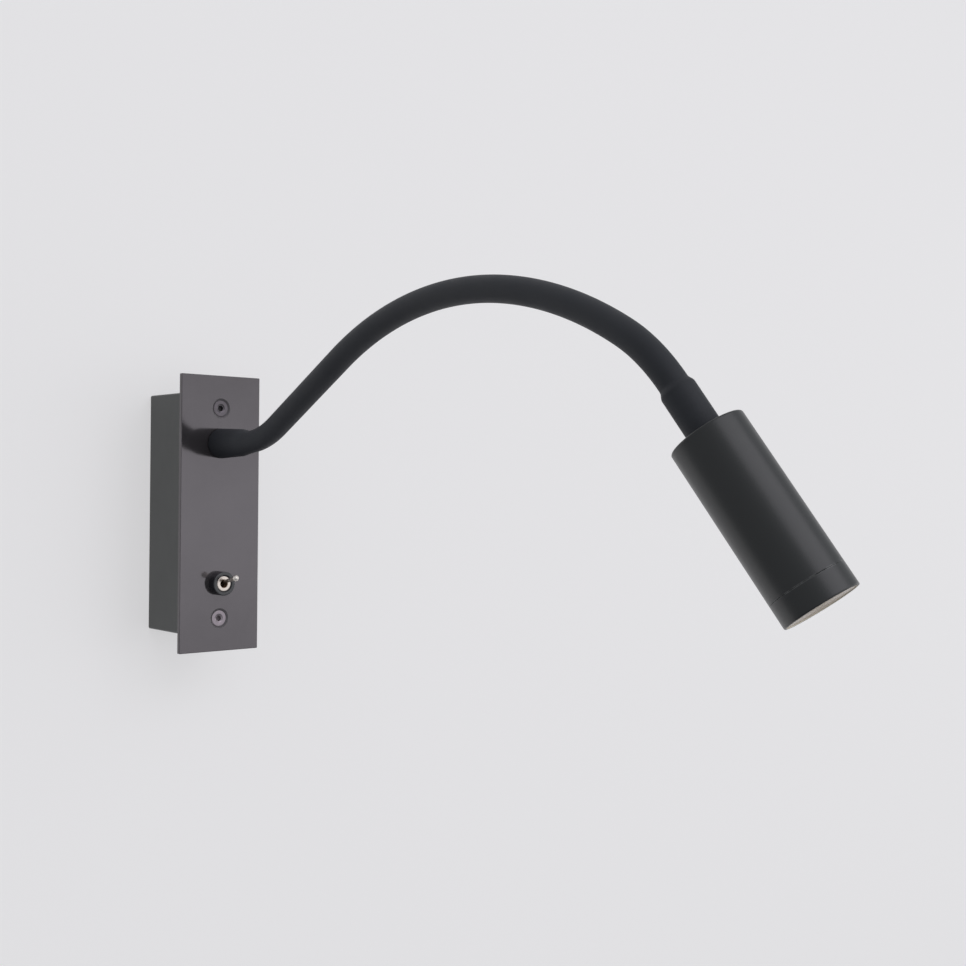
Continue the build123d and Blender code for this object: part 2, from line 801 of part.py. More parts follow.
def make_wiring():
    """The short leads between terminals, switch, driver and earth tag."""
    poles = pole_places()
    entry = terminal_bottom + wire_insertion
    blade_x = blade_pitch / 2
    first_live = [
        (poles[0], wire_plane, entry),
        (poles[0], wire_plane, turn_height),
        (live_side, wire_plane, turn_height),
        (live_side, wire_plane, switch_height),
        (-blade_x, wire_plane, switch_height),
        (-blade_x, blade_end, switch_height),
    ]
    inside = driver_wall + wire_diameter
    second_live = [
        (blade_x, blade_end, switch_height),
        (blade_x, wire_plane, switch_height),
        (blade_x, wire_plane, driver_bottom + inside),
    ]
    save("live_leads", *[wire_along(route, wire_diameter, wire_bend) for route in (first_live, second_live)])
    neutral = [(poles[1], wire_plane, entry), (poles[1], wire_plane, driver_top - inside)]
    save("neutral_lead", wire_along(neutral, wire_diameter, wire_bend))
    grip = earth_screw_height + earth_tag_diameter / 2 + seat_gap + earth_tag_thickness
    earth = [
        (poles[-1], wire_plane, entry),
        (poles[-1], wire_plane, turn_height),
        (earth_side, wire_plane, turn_height),
        (earth_side, earth_wire_plane(), driver_centre_height),
        (earth_side, earth_wire_plane(), grip),
    ]
    save("earth_lead", wire_along(earth, wire_diameter, wire_bend))


# ---------------------------------------------------------------- toggle switch
def make_switch():
    """The toggle switch: its body and blades behind the plate, its bush and ring nut in front."""
    front = facing_room(bush_front, z=switch_height)
    bush = round_bar(front, bush_diameter, bush_front - switch_front, bush_bore)
    save("switch_bush", bush)

    face = facing_room(plate_front, z=switch_height)
    ring = round_bar(face, ring_nut_diameter, ring_nut_length)
    ring = fillet(ring.faces().sort_by(Axis.Y)[0].edges(), ring_nut_edge)
    bore = bush_diameter + 2 * thread_gap
    save("switch_ring_nut", ring - round_bar(face, bore, ring_nut_length))

    washer_back = facing_room(plate_back + lock_washer_thickness, z=switch_height)
    save("switch_lock_washer", round_bar(washer_back, lock_washer_diameter, lock_washer_thickness, bore))
    nut_back = facing_room(switch_front, z=switch_height)
    save("switch_back_nut", hex_nut(nut_back, switch_nut_flats, switch_nut_height, bore))

    half_x = switch_width / 2
    half_z = switch_tall / 2
    body = block(
        (-half_x, switch_front, switch_height - half_z),
        (half_x, switch_back, switch_height + half_z),
    )
    body -= block(
        (-half_x + 2 * switch_wall, switch_front + switch_wall, switch_height - half_z + switch_wall),
        (half_x - 2 * switch_wall, switch_back - 2 * switch_wall, switch_height + half_z - switch_wall),
    )
    body -= round_bar(facing_room(switch_front + switch_wall, z=switch_height), bush_bore, switch_wall)
    save("switch_body", body)

    blades = []
    for side in (1, -1):
        x = side * blade_pitch / 2
        blades.append(block(
            (x - blade_thickness / 2, switch_back, switch_height - blade_width / 2),
            (x + blade_thickness / 2, blade_end, switch_height + blade_width / 2),
        ))
    save("switch_blades", *blades)


def make_switch_lever():
    """The lever, up at rest, on its pivot ball inside the bush."""
    neck = lever_neck / 2
    tip = lever_tip / 2
    blend = radians(lever_blend_angle)
    top = lever_reach - tip * cos(blend)
    stem = turned([(0, 0), (neck, 0), (neck, lever_neck_length), (tip * sin(blend), top), (0, top)])
    lever = stem + Sphere(lever_ball / 2) + Pos(0, 0, lever_reach) * Sphere(tip)
    lever += round_bar(Plane.XY, lever_tail, -lever_tail_length)
    pivot = Vector(0, plate_front - lever_pivot_proud, switch_height)
    save("switch_lever", Plane(origin=pivot, x_dir=(1, 0, 0), z_dir=heading(lever_tilt)) * lever)


os.makedirs("parts", exist_ok=True)
make_wall_box()
make_front_plate()
make_terminals()
make_driver()
make_earth_point()
make_wiring()
make_switch()
make_switch_lever()
make_arm_root()
make_arm_links()
make_arm_end()
make_head()
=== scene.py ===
"""Bedside wall reading lamp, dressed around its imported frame.

Sizes are millimetres and become metres where a mesh is made. The frame is the part's own: the
origin is the centre of the back box's rear face, on the wall, +Z is up and -Y points out into
the room.
"""

import json
import logging
from dataclasses import dataclass, replace
from enum import Enum
from math import acos, asin, cos, degrees, pi, radians, sin, sqrt, tau
from typing import Iterable, Sequence

import bmesh
import bpy
from mathutils import Matrix, Vector


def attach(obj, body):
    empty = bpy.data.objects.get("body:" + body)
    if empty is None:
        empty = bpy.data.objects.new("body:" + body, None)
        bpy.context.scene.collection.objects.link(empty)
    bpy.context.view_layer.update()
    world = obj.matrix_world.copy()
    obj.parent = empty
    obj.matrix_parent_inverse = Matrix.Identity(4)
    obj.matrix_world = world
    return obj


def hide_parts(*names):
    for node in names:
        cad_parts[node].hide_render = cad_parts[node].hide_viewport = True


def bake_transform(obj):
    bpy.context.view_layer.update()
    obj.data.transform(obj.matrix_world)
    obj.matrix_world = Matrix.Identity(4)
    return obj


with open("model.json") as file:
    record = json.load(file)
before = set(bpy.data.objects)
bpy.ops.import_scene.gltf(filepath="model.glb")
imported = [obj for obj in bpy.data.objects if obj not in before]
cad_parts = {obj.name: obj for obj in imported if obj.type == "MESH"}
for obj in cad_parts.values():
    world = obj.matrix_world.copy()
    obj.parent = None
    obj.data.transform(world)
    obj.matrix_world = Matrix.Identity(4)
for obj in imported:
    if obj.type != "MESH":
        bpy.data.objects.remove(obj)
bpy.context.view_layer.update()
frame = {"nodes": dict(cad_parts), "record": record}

log = logging.getLogger("reading_lamp")

METRES = 0.001
TINY = 1e-6
EDGE_BAND = 0.3
EDGE_MASK = "edge_mask"

Triple = tuple[float, float, float]
Point = tuple[float, float]
Node = bpy.types.Node
Socket = bpy.types.NodeSocket
Sockets = dict[str, Socket]
Object = bpy.types.Object
Ring = list[bmesh.types.BMVert]


def screen_colour(*channels: int) -> Triple:
    """Turns a colour as a screen shows it into the values that a shader takes.

    Args:
        channels: Red, green and blue, from 0 to 255.

    Returns:
        The three linear values.
    """
    shares = [channel / 255 for channel in channels]
    return tuple(share / 12.92 if share <= 0.04045 else ((share + 0.055) / 1.055) ** 2.4
                 for share in shares)


def put_in_scene(name: str, data: bpy.types.ID) -> Object:
    """Makes an object and links it into the scene.

    Args:
        name: Its name.
        data: Its mesh, lamp or camera.

    Returns:
        The object.
    """
    made = bpy.data.objects.new(name, data)
    bpy.context.scene.collection.objects.link(made)
    return made


def between(first: Vector, second: Vector) -> float:
    """The angle between two unit vectors, in radians."""
    return acos(max(-1.0, min(1.0, first.dot(second))))


# --- node trees


class NodeDesk:
    """Adds and joins nodes in one tree."""

    COLUMNS = 7
    STEP = 240

    def __init__(self, tree: bpy.types.NodeTree) -> None:
        """Starts with the tree that the nodes go into."""
        self.tree = tree

    @classmethod
    def cleared(cls, owner: bpy.types.ID) -> "NodeDesk":
        """Empties a tree and makes its desk.

        Args:
            owner: The material or world that has the tree.

        Returns:
            The desk.
        """
        owner.use_nodes = True
        owner.node_tree.nodes.clear()
        return cls(owner.node_tree)

    def add(self, kind: str, fed: dict | None = None, **settings: object) -> Node:
        """Adds one node.

        Args:
            kind: The node's type name.
            fed: The sockets or values for its inputs, by their name or number.
            settings: Properties to set on it.

        Returns:
            The node.
        """
        down, across = divmod(len(self.tree.nodes), self.COLUMNS)
        node = self.tree.nodes.new(kind)
        node.location = (self.STEP * across, -self.STEP * down)
        for key, value in settings.items():
            setattr(node, key, value)
        for key, source in (fed or {}).items():
            if isinstance(source, Socket):
                self.tree.links.new(source, node.inputs[key])
            else:
                node.inputs[key].default_value = (*source, 1.0) if isinstance(source, tuple) else source
        return node

    def maths(self, operation: str, *values: object) -> Socket:
        """The result of one sum of sockets or numbers."""
        return self.add("ShaderNodeMath", dict(enumerate(values)), operation=operation).outputs[0]

    def spread(self, source: object, *ends: object) -> Socket:
        """A value mapped from the span between the first two ends onto that between the last two."""
        return self.add("ShaderNodeMapRange", dict(enumerate((source, *ends)))).outputs[0]

    def blend(self, share: object, first: object, second: object) -> Socket:
        """Two colours mixed, by how much of the second shows."""
        return self.add("ShaderNodeMix", {0: share, 6: first, 7: second}, data_type="RGBA").outputs[2]

    def mix(self, share: object, first: Node, second: Node) -> Node:
        """Two shaders mixed, by how much of the second shows."""
        return self.add("ShaderNodeMixShader", {0: share, 1: first.outputs[0], 2: second.outputs[0]})

    def axis(self, vector: Socket, name: str) -> Socket:
        """The X, Y or Z of a vector."""
        return self.add("ShaderNodeSeparateXYZ", {0: vector}).outputs[name]

    def noise(self, vector: Socket, scale: object, detail: float) -> Socket:
        """A cloudy noise over a vector."""
        fed = {"Vector": vector, "Scale": scale, "Detail": detail}
        return self.add("ShaderNodeTexNoise", fed).outputs["Fac"]


class Effect:
    """A surface effect that several materials share, kept as one node group."""

    title = ""
    takes: dict[str, str] = {}
    gives: dict[str, str] = {}

    def group(self) -> bpy.types.NodeTree:
        """Builds the group once and gives it back after that.

        Returns:
            The node group.
        """
        made = bpy.data.node_groups.get(self.title)
        if made is not None:
            return made
        tree = bpy.data.node_groups.new(self.title, "ShaderNodeTree")
        for way, sockets in (("INPUT", self.takes), ("OUTPUT", self.gives)):
            for name, kind in sockets.items():
                tree.interface.new_socket(name=name, in_out=way, socket_type=f"NodeSocket{kind}")
        desk = NodeDesk(tree)
        taken = desk.add("NodeGroupInput").outputs
        desk.add("NodeGroupOutput", self.work(desk, {name: taken[name] for name in self.takes}))
        return tree

    def place(self, desk: NodeDesk, **values: object) -> Node:
        """Puts the group into a material, with its inputs by name."""
        return desk.add("ShaderNodeGroup", values, node_tree=self.group())

    def work(self, desk: NodeDesk, taken: Sockets) -> Sockets:
        """Fills the group.

        Args:
            desk: The group's tree.
            taken: Its inputs by name.

        Returns:
            The sockets that feed its outputs, by name.
        """
        raise NotImplementedError


class SoftMottle(Effect):
    """Cloudy changes of shade and gloss, as in a plated or painted surface."""

    title = "soft_mottle"
    takes = {"Vector": "Vector", "Scale": "Float", "Colour": "Color", "Spread": "Float",
             "Roughness": "Float", "Gloss": "Float"}
    gives = {"Colour": "Color", "Roughness": "Float"}
    finer = 6.3
    broad_share = 0.68
    fine_share = 0.32

    def work(self, desk: NodeDesk, taken: Sockets) -> Sockets:
        """Sums a broad cloud and a finer one. See Effect.work for Args and Returns."""
        vector, scale = taken["Vector"], taken["Scale"]
        broad = desk.maths("MULTIPLY", desk.noise(vector, scale, 3.0), self.broad_share)
        fine = desk.noise(vector, desk.maths("MULTIPLY", scale, self.finer), 2.0)
        both = desk.maths("ADD", broad, desk.maths("MULTIPLY", fine, self.fine_share))
        cloud = desk.spread(both, 0.34, 0.66, -1.0, 1.0)
        shade = desk.maths("MULTIPLY_ADD", cloud, taken["Spread"], 1.0)
        tint = desk.add("ShaderNodeHueSaturation", {"Color": taken["Colour"], "Value": shade})
        rough = desk.maths("MULTIPLY_ADD", cloud, taken["Gloss"], taken["Roughness"])
        return {"Colour": tint.outputs["Color"], "Roughness": rough}


class FineGrain(Effect):
    """The fine relief of a moulded, blasted or powder-coated surface."""

    title = "fine_grain"
    takes = {"Vector": "Vector", "Scale": "Float"}
    gives = {"Height": "Float"}

    def work(self, desk: NodeDesk, taken: Sockets) -> Sockets:
        """Lays rounded pits over a fine noise. See Effect.work for Args and Returns."""
        noise = desk.noise(taken["Vector"], taken["Scale"], 3.0)
        pits = desk.add("ShaderNodeTexVoronoi", taken, feature="SMOOTH_F1").outputs["Distance"]
        return {"Height": desk.maths("MULTIPLY_ADD", pits, 0.6, noise)}


class TurningLines(Effect):
    """The fine uneven rings that a lathe tool leaves."""

    title = "turning_lines"
    takes = {"Along": "Float", "Pitch": "Float"}
    gives = {"Height": "Float"}

    def work(self, desk: NodeDesk, taken: Sockets) -> Sockets:
        """Reads a noise along one line only. See Effect.work for Args and Returns."""
        fed = {"W": desk.maths("DIVIDE", taken["Along"], taken["Pitch"]), "Scale": 1.0, "Detail": 2.0}
        return {"Height": desk.add("ShaderNodeTexNoise", fed, noise_dimensions="1D").outputs["Fac"]}


class WornAndHighlitEdges(Effect):
    """Where a finish is scuffed thin, or given a painted highlight, broken up along the edges that the
    mesh marks.
    """

    title = "worn_edges"
    takes = {"Mask": "Float", "Vector": "Vector", "Scale": "Float", "Amount": "Float"}
    gives = {"Mask": "Float"}

    def work(self, desk: NodeDesk, taken: Sockets) -> Sockets:
        """Thins the mask with a noise. See Effect.work for Args and Returns."""
        broken = desk.spread(desk.noise(taken["Vector"], taken["Scale"], 4.0), 0.4, 0.62, 0.0, 1.0)
        amount = desk.maths("MULTIPLY", taken["Mask"], taken["Amount"])
        return {"Mask": desk.maths("MULTIPLY", broken, amount)}


# --- finishes


class Mapping(Enum):
    """What a finish is laid out on, by the texture coordinate that gives it."""

    BODY = "Object"
    SURFACE = "UV"


@dataclass(frozen=True)
class Finish:
    """One finish of the lamp and how its surface looks close up.

    Mottle and grain are features to the metre, and depth and turning are the grain's height and
    the pitch of lathe rings in metres. Spread and gloss are how far the mottle changes the shade
    and the roughness. The edge colour shows on marked edges by the given amount: as scuffing on
    most finishes, and as a painted highlight along the head's seam and, with light scuffing, the
    plate's edges.
    """

    COAT_ROUGHNESS = 0.1
    WEAR_AND_HIGHLIGHT_FINENESS = 9
    GRAIN_BETWEEN_LINES = 0.3

    name: str
    colour: Triple
    roughness: float
    metallic: float = 0.0
    specular: float = 0.5
    coat: float = 0.0
    mapping: Mapping = Mapping.BODY
    mottle: float = 60.0
    spread: float = 0.06
    gloss: float = 0.05
    grain: float = 2600.0
    depth: float = 1e-5
    turning: float = 0.0
    wear: float = 0.0
    worn: Triple = (0.42, 0.41, 0.4)

    def like(self, name: str, colour: Triple, roughness: float, **changes: object) -> "Finish":
        """The same kind of finish in another colour and roughness, with any other changes."""
        return replace(self, name=name, colour=colour, roughness=roughness, **changes)

    def material(self) -> bpy.types.Material:
        """Builds the material once and gives it back after that.

        Returns:
            The material.
        """
        made = bpy.data.materials.get(self.name)
        if made is not None:
            return made
        material = bpy.data.materials.new(self.name)
        desk = NodeDesk.cleared(material)
        material.diffuse_color = (*self.colour, 1.0)
        where = desk.add("ShaderNodeTexCoord")
        vector = where.outputs[self.mapping.value]
        mottle = SoftMottle().place(desk, Vector=vector, Scale=self.mottle, Spread=self.spread,
                                    Colour=self.pattern(desk, vector), Roughness=self.roughness,
                                    Gloss=self.gloss)
        colour = mottle.outputs["Colour"]
        # Marked edges take the edge colour: scuffing on most finishes, a painted highlight on the head
        # and, in part, the plate.
        if self.wear:
            edge = desk.add("ShaderNodeAttribute", attribute_name=EDGE_MASK)
            lightened_edges = WornAndHighlitEdges().place(desk, Mask=edge.outputs["Fac"], Vector=vector,
                                       Scale=self.mottle * self.WEAR_AND_HIGHLIGHT_FINENESS, Amount=self.wear)
            colour = desk.blend(lightened_edges.outputs["Mask"], colour, self.worn)
        bump = desk.add("ShaderNodeBump", {"Distance": self.depth, "Strength": 1.0,
                                           "Height": self.relief(desk, where)})
        shader = desk.add("ShaderNodeBsdfPrincipled", {
            "Base Color": colour, "Roughness": mottle.outputs["Roughness"], "Metallic": self.metallic,
            "Specular IOR Level": self.specular, "Coat Weight": self.coat,
            "Coat Roughness": self.COAT_ROUGHNESS, "Normal": bump.outputs["Normal"], **self.extras(),
        })
        desk.add("ShaderNodeOutputMaterial", {"Surface": shader.outputs["BSDF"]})
        return material

    def pattern(self, desk: NodeDesk, vector: Socket) -> object:
        """Gives the colour before mottling.

        Args:
            desk: The material's tree.
            vector: The coordinates that the finish is laid out on.

        Returns:
            A plain colour, or a socket that changes over the surface.
        """
        return self.colour

    def extras(self) -> dict[str, float]:
        """The shader's inputs that only some finishes set."""
        return {}

    def grained(self, desk: NodeDesk, where: Node) -> Socket:
        """The height of the fine grain."""
        vector = where.outputs[self.mapping.value]
        return FineGrain().place(desk, Vector=vector, Scale=self.grain).outputs["Height"]

    def relief(self, desk: NodeDesk, where: Node) -> Socket:
        """Works out the height of the whole relief.

        Args:
            desk: The material's tree.
            where: The texture coordinate node.

        Returns:
            The height's socket.
        """
        grain = self.grained(desk, where)
        if not self.turning:
            return grain
        along = desk.axis(where.outputs["UV"], "Y")
        lines = TurningLines().place(desk, Along=along, Pitch=self.turning)
        return desk.maths("MULTIPLY_ADD", grain, self.GRAIN_BETWEEN_LINES, lines.outputs["Height"])


@dataclass(frozen=True)
class BowedSheet(Finish):
    """A flat sheet that is dished a little from top to bottom, which shows only in what it mirrors.

    Bow is how much its lean grows in each metre above its flattest line.
    """

    bow: float = 0.415
    flattest: float = -0.04

    def relief(self, desk: NodeDesk, where: Node) -> Socket:
        """Raises the sheet off its flattest line. See Finish.relief for Args and Returns."""
        above = desk.maths("SUBTRACT", desk.axis(where.outputs["Object"], "Z"), self.flattest)
        dish = desk.maths("MULTIPLY", desk.maths("MULTIPLY", above, above), 0.5 * self.bow / self.depth)
        return desk.maths("ADD", dish, self.grained(desk, where))


@dataclass(frozen=True)
class WoundSteel(Finish):
    """Bright steel strip wound into a bendable tube, with its spiral grooves in the relief."""

    winding_pitch: float = 0.0022
    band_width: float = 0.314
    band_height: float = 3.0

    def relief(self, desk: NodeDesk, where: Node) -> Socket:
        """Adds the winding's bands to the grain. See Finish.relief for Args and Returns."""
        fed = {"Vector": where.outputs[self.mapping.value], "Scale": self.band_width / self.winding_pitch}
        bands = desk.add("ShaderNodeTexWave", fed, wave_type="BANDS", bands_direction="Y",
                         wave_profile="SIN").outputs["Fac"]
        return desk.maths("MULTIPLY_ADD", bands, self.band_height, self.grained(desk, where))


@dataclass(frozen=True)
class StripedInsulation(Finish):
    """Wire insulation with a stripe of a second colour down its length."""

    stripe: Triple = (0.75, 0.6, 0.04)
    stripes: float = 2400.0

    def pattern(self, desk: NodeDesk, vector: Socket) -> object:
        """Splits the wire down its length between its two colours. See Finish.pattern."""
        sway = desk.maths("SINE", desk.maths("MULTIPLY", desk.axis(vector, "X"), self.stripes))
        return desk.blend(desk.maths("GREATER_THAN", sway, 0.2), self.colour, self.stripe)


@dataclass(frozen=True)
class CircuitBoard(Finish):
    """Solder mask over copper tracks, which show through as a lighter pattern."""

    track: Triple = (0.1, 0.33, 0.15)

    def pattern(self, desk: NodeDesk, vector: Socket) -> object:
        """Draws a plain grid of tracks and pads. See Finish.pattern for Args and Returns."""
        fed = {"Vector": vector, "Scale": 260.0, "Mortar Size": 0.04}
        tracks = desk.add("ShaderNodeTexBrick", fed, offset=0.37, squash=1.6)
        return desk.blend(tracks.outputs["Fac"], self.colour, self.track)


@dataclass(frozen=True)
class ClearMoulding(Finish):
    """A ringed optical plastic that lets part of the light through, with a painted glow at its centre from
    the reflector behind and painted shade on its rings.
    """

    transmission: float = 0.2
    index: float = 1.49
    painted_glow: Triple = (0.93, 0.84, 0.62)
    painted_glow_share: float = 0.85
    rim_at: float = 0.0186
    painted_glow_at: float = 0.0336
    ring_pitch: float = 0.0009
    painted_ring_shade: float = 0.13

    def pattern(self, desk: NodeDesk, vector: Socket) -> object:
        """Paints a warm glow toward the centre and a shade on each ring. See Finish.pattern for Args and
        Returns.
        """
        # The glow and the ring shade are painted light, laid over the lens's own beige.
        inward = desk.axis(vector, "Y")
        ring = desk.maths("SINE", desk.maths("MULTIPLY", inward, tau / self.ring_pitch))
        middle = desk.spread(inward, self.rim_at, self.painted_glow_at, self.painted_ring_shade, self.painted_glow_share)
        share = desk.maths("MULTIPLY_ADD", ring, self.painted_ring_shade, middle)
        return desk.blend(share, self.colour, self.painted_glow)

    def extras(self) -> dict[str, float]:
        """Lets light through the moulding."""
        return {"Transmission Weight": self.transmission, "IOR": self.index}


# The plate's edge colour is partly light scuffing and partly a painted highlight along its chamfers.
PLATE_METAL = BowedSheet("plate_gunmetal", (0.121, 0.11, 0.117), 0.12, metallic=0.72, mottle=38,
                         spread=0.05, gloss=0.012, grain=3200, depth=1e-6, wear=0.2, worn=(0.2, 0.19, 0.2))
# The countersink's cone gets its own matte colour, set to paint the soft ring of shade around each screw.
SINK_PAINTED_SHADE = Finish("countersink_painted_shade_ring", (0.16, 0.147, 0.155), 0.7, specular=0.3, mottle=120,
                    spread=0.1, grain=5000, depth=2e-6)
BOX_METAL = Finish("box_gunmetal", (0.076, 0.079, 0.078), 0.33, metallic=1, mottle=24, spread=0.1,
                   gloss=0.04, depth=4e-6, wear=0.3, worn=(0.2, 0.2, 0.2))
# Both cover screws are one part in two copies: the bottom one's lighter plating and socket are painted
# light, the top one's darker plating is painted shade.
SCREW_LIT_COPY = Finish("cover_screw_lit_copy_plating", (0.33, 0.285, 0.315), 0.34, metallic=1, mottle=300,
                     spread=0.12, gloss=0.06, grain=6000, depth=3e-6, turning=0.00018, wear=0.4)
SCREW_SHADED_COPY = SCREW_LIT_COPY.like("cover_screw_shaded_copy_plating", (0.145, 0.13, 0.143), 0.34,
                              worn=(0.2, 0.19, 0.2))
SOCKET_LIT_COPY = Finish("screw_socket_worn", (0.19, 0.16, 0.175), 0.6, specular=0.4, mottle=400, spread=0.1,
                     grain=6000, depth=3e-6)
# The top screw's socket is darkened as painted shade in the recess.
SOCKET_PAINTED_SHADE = SOCKET_LIT_COPY.like("screw_socket_painted_shade", screen_colour(42, 38, 42), 0.5)
RING_BLACK = SOCKET_LIT_COPY.like("ring_nut_blacking", screen_colour(13, 14, 24), 0.3, specular=1, mottle=300,
                              turning=0.0002, wear=0.25, worn=(0.1, 0.1, 0.11))
CHROME = Finish("switch_chrome_plate", (0.7, 0.625, 0.57), 0.27, metallic=1, mottle=400, spread=0.03,
                gloss=0.03, grain=5000, depth=2e-6)
# The lever is one chrome: its tip gets a near-white copy as a painted highlight and its neck a dark copy
# as painted shade.
TIP_PAINTED_HIGHLIGHT = CHROME.like("lever_tip_painted_highlight", (0.95, 0.89, 0.83), 0.36)
NECK_PAINTED_SHADE = CHROME.like("lever_neck_painted_shade", (0.22, 0.19, 0.17), 0.3, spread=0.05)
BORE_BRONZE = CHROME.like("bush_bore_bronze", (0.34, 0.22, 0.15), 0.5, metallic=0.3, spread=0.1,
                          gloss=0.05)
SLEEVE_RUBBER = Finish("arm_sleeve_rubber", screen_colour(48, 50, 55), 0.6, specular=0.35,
                       mapping=Mapping.SURFACE, mottle=70, spread=0.08, grain=3000, depth=2.2e-5)
# The head's edge colour, marked only at the seam, is a painted highlight: the light line along the seam's
# edge.
HEAD_PAINT = Finish("head_satin_black", screen_colour(27, 29, 30), 0.36, specular=0.75, mottle=45,
                    spread=0.03, gloss=0.012, grain=4200, depth=3e-6, wear=0.6, worn=(0.16, 0.16, 0.16))
# The bezel's inner lip: a gold tone raised near white, so that it paints the bright highlight line at the
# far lip.
BEZEL_INSIDE_GOLD_HIGHLIGHT = Finish("bezel_inner_gold_painted_highlight", (0.95, 0.88, 0.74), 0.35, mottle=200, spread=0.08, depth=4e-6,
                      turning=0.00025)
# The lens's pattern paints a glow at its centre and a shade on each ring.
LENS_PLASTIC = ClearMoulding("lens_beige_acrylic", screen_colour(224, 201, 176), 0.28, spread=0.05,
                             mapping=Mapping.SURFACE, mottle=140, gloss=0.04, grain=1800, depth=6e-6)
REFLECTOR_METAL = Finish("reflector_spun_metal", (0.8, 0.72, 0.52), 0.16, metallic=1, mottle=200,
                         spread=0.04, depth=3e-6, turning=0.0003)
GROMMET_RUBBER = Finish("grommet_black_rubber", screen_colour(38, 38, 38), 0.7, specular=0.35, mottle=160,
                        spread=0.1, depth=2e-5)
LIVE_BROWN = Finish("live_brown_insulation", screen_colour(104, 60, 36), 0.38, mottle=200)

SLOT_FINISHES: dict[str, Finish] = {
    "steel": Finish("zinc_plated_steel", (0.5, 0.5, 0.51), 0.32, metallic=1, mottle=220, spread=0.1,
                    gloss=0.08, depth=8e-6),
    "gooseneck_steel": WoundSteel("wound_steel_tube", (0.48, 0.48, 0.48), 0.28, metallic=1, mottle=120,
                                  depth=1.2e-4),
    "lead_sheath": Finish("lead_white_sheath", screen_colour(225, 224, 218), 0.45, mottle=90, spread=0.03),
    "terminal_nylon": Finish("terminal_natural_nylon", screen_colour(228, 226, 212), 0.42, specular=0.45,
                             mottle=120, spread=0.03, depth=1.4e-5),
    "brass": Finish("plain_brass", (0.63, 0.47, 0.2), 0.27, metallic=1, mottle=260, spread=0.09,
                    gloss=0.06, depth=6e-6),
    "driver_plastic": Finish("driver_white_plastic", screen_colour(230, 230, 228), 0.4, mottle=80,
                             spread=0.025, grain=1900, depth=2.4e-5),
    "foam_pad": Finish("adhesive_foam", screen_colour(176, 174, 168), 0.9, specular=0.2, mottle=240,
                       spread=0.12, grain=1500, depth=1.5e-4),
    "circuit_board": CircuitBoard("driver_circuit_board", (0.03, 0.17, 0.07), 0.35, coat=0.3, mottle=180,
                                  spread=0.05),
    "component_black": Finish("component_moulding", screen_colour(52, 52, 54), 0.38, mottle=200,
                              spread=0.07, depth=1.2e-5),
    "live_wire": LIVE_BROWN,
    "neutral_wire": LIVE_BROWN.like("neutral_blue_insulation", screen_colour(48, 92, 158), 0.38),
    "earth_wire": StripedInsulation("earth_striped_insulation", screen_colour(72, 132, 56), 0.38,
                                    mottle=200),
    "switch_plastic": Finish("switch_black_moulding", screen_colour(48, 47, 46), 0.45, mottle=150,
                             spread=0.08, depth=2e-5),
    "aluminium": Finish("turned_aluminium", (0.66, 0.66, 0.67), 0.3, metallic=1, mottle=160, spread=0.05,
                        gloss=0.07, depth=8e-6),
    "board_white": Finish("board_white_mask", screen_colour(236, 235, 230), 0.35, mottle=200, spread=0.03,
                          depth=6e-6),
    "emitter": Finish("emitter_phosphor", screen_colour(238, 204, 92), 0.5, coat=0.6, mottle=900,
                      spread=0.08),
}


# --- meshes


@dataclass(frozen=True)
class Place:
    """A place and its directions, which a turned or flat piece is built on."""

    origin: Vector
    along: Vector
    side: Vector

    def at(self, x: float, y: float, height: float) -> Vector:
        """The point at x and y across the place and a height along it."""
        return self.origin + self.side * x + self.along.cross(self.side) * y + self.along * height


def facing_room(depth: float, z: float = 0.0) -> Place:
    """The place at a distance from the wall and a height, whose own height runs out into the room."""
    return Place(Vector((0, -depth, z)), Vector((0, -1, 0)), Vector((1, 0, 0)))


@dataclass(frozen=True)
class Level:
    """One ring of a mesh: its radius or inset, its height, whether it is six-sided and whether it lies on
    a marked edge, scuffed on some finishes and painted with a highlight on others.
    """

    reach: float
    height: float
    flats: bool = False
    edge: bool = False


def rounded_levels(corners: Sequence[tuple], arc_steps: int = 4, closed: bool = False) -> list[Level]:
    """Rounds an outline's corners.

    Args:
        corners: Radius or inset, height and, where it is rounded, fillet of each corner in order.
        arc_steps: How many pieces each rounded corner gets.
        closed: Whether the last corner runs back to the first.

    Returns:
        The rings in order.
    """
    levels: list[Level] = []
    spots = [Vector(corner[:2]) for corner in corners]
    for index, (reach, height, *fillets) in enumerate(corners):
        if not fillets or not (closed or 0 < index < len(spots) - 1):
            levels.append(Level(reach, height))
            continue
        here, fillet = spots[index], fillets[0]
        before, after = spots[index - 1] - here, spots[(index + 1) % len(spots)] - here
        back, onward = before.normalized(), after.normalized()
        half = between(back, onward) / 2
        cut = fillet / (sin(half) / cos(half))
        centre = here + (back + onward).normalized() * (fillet / sin(half))
        first = here + back * cut - centre
        last = here + onward * cut - centre
        turn = pi - 2 * half
        bands = [here + way * (cut + min(EDGE_BAND, (far.length - cut) * 0.3))
                 for way, far in ((back, before), (onward, after))]
        levels.append(Level(*bands[0]))
        for share in (part / arc_steps for part in range(arc_steps + 1)):
            spoke = (first * sin((1 - share) * turn) + last * sin(share * turn)) / sin(turn)
            levels.append(Level(*(centre + spoke), edge=True))
        levels.append(Level(*bands[1]))
    return levels


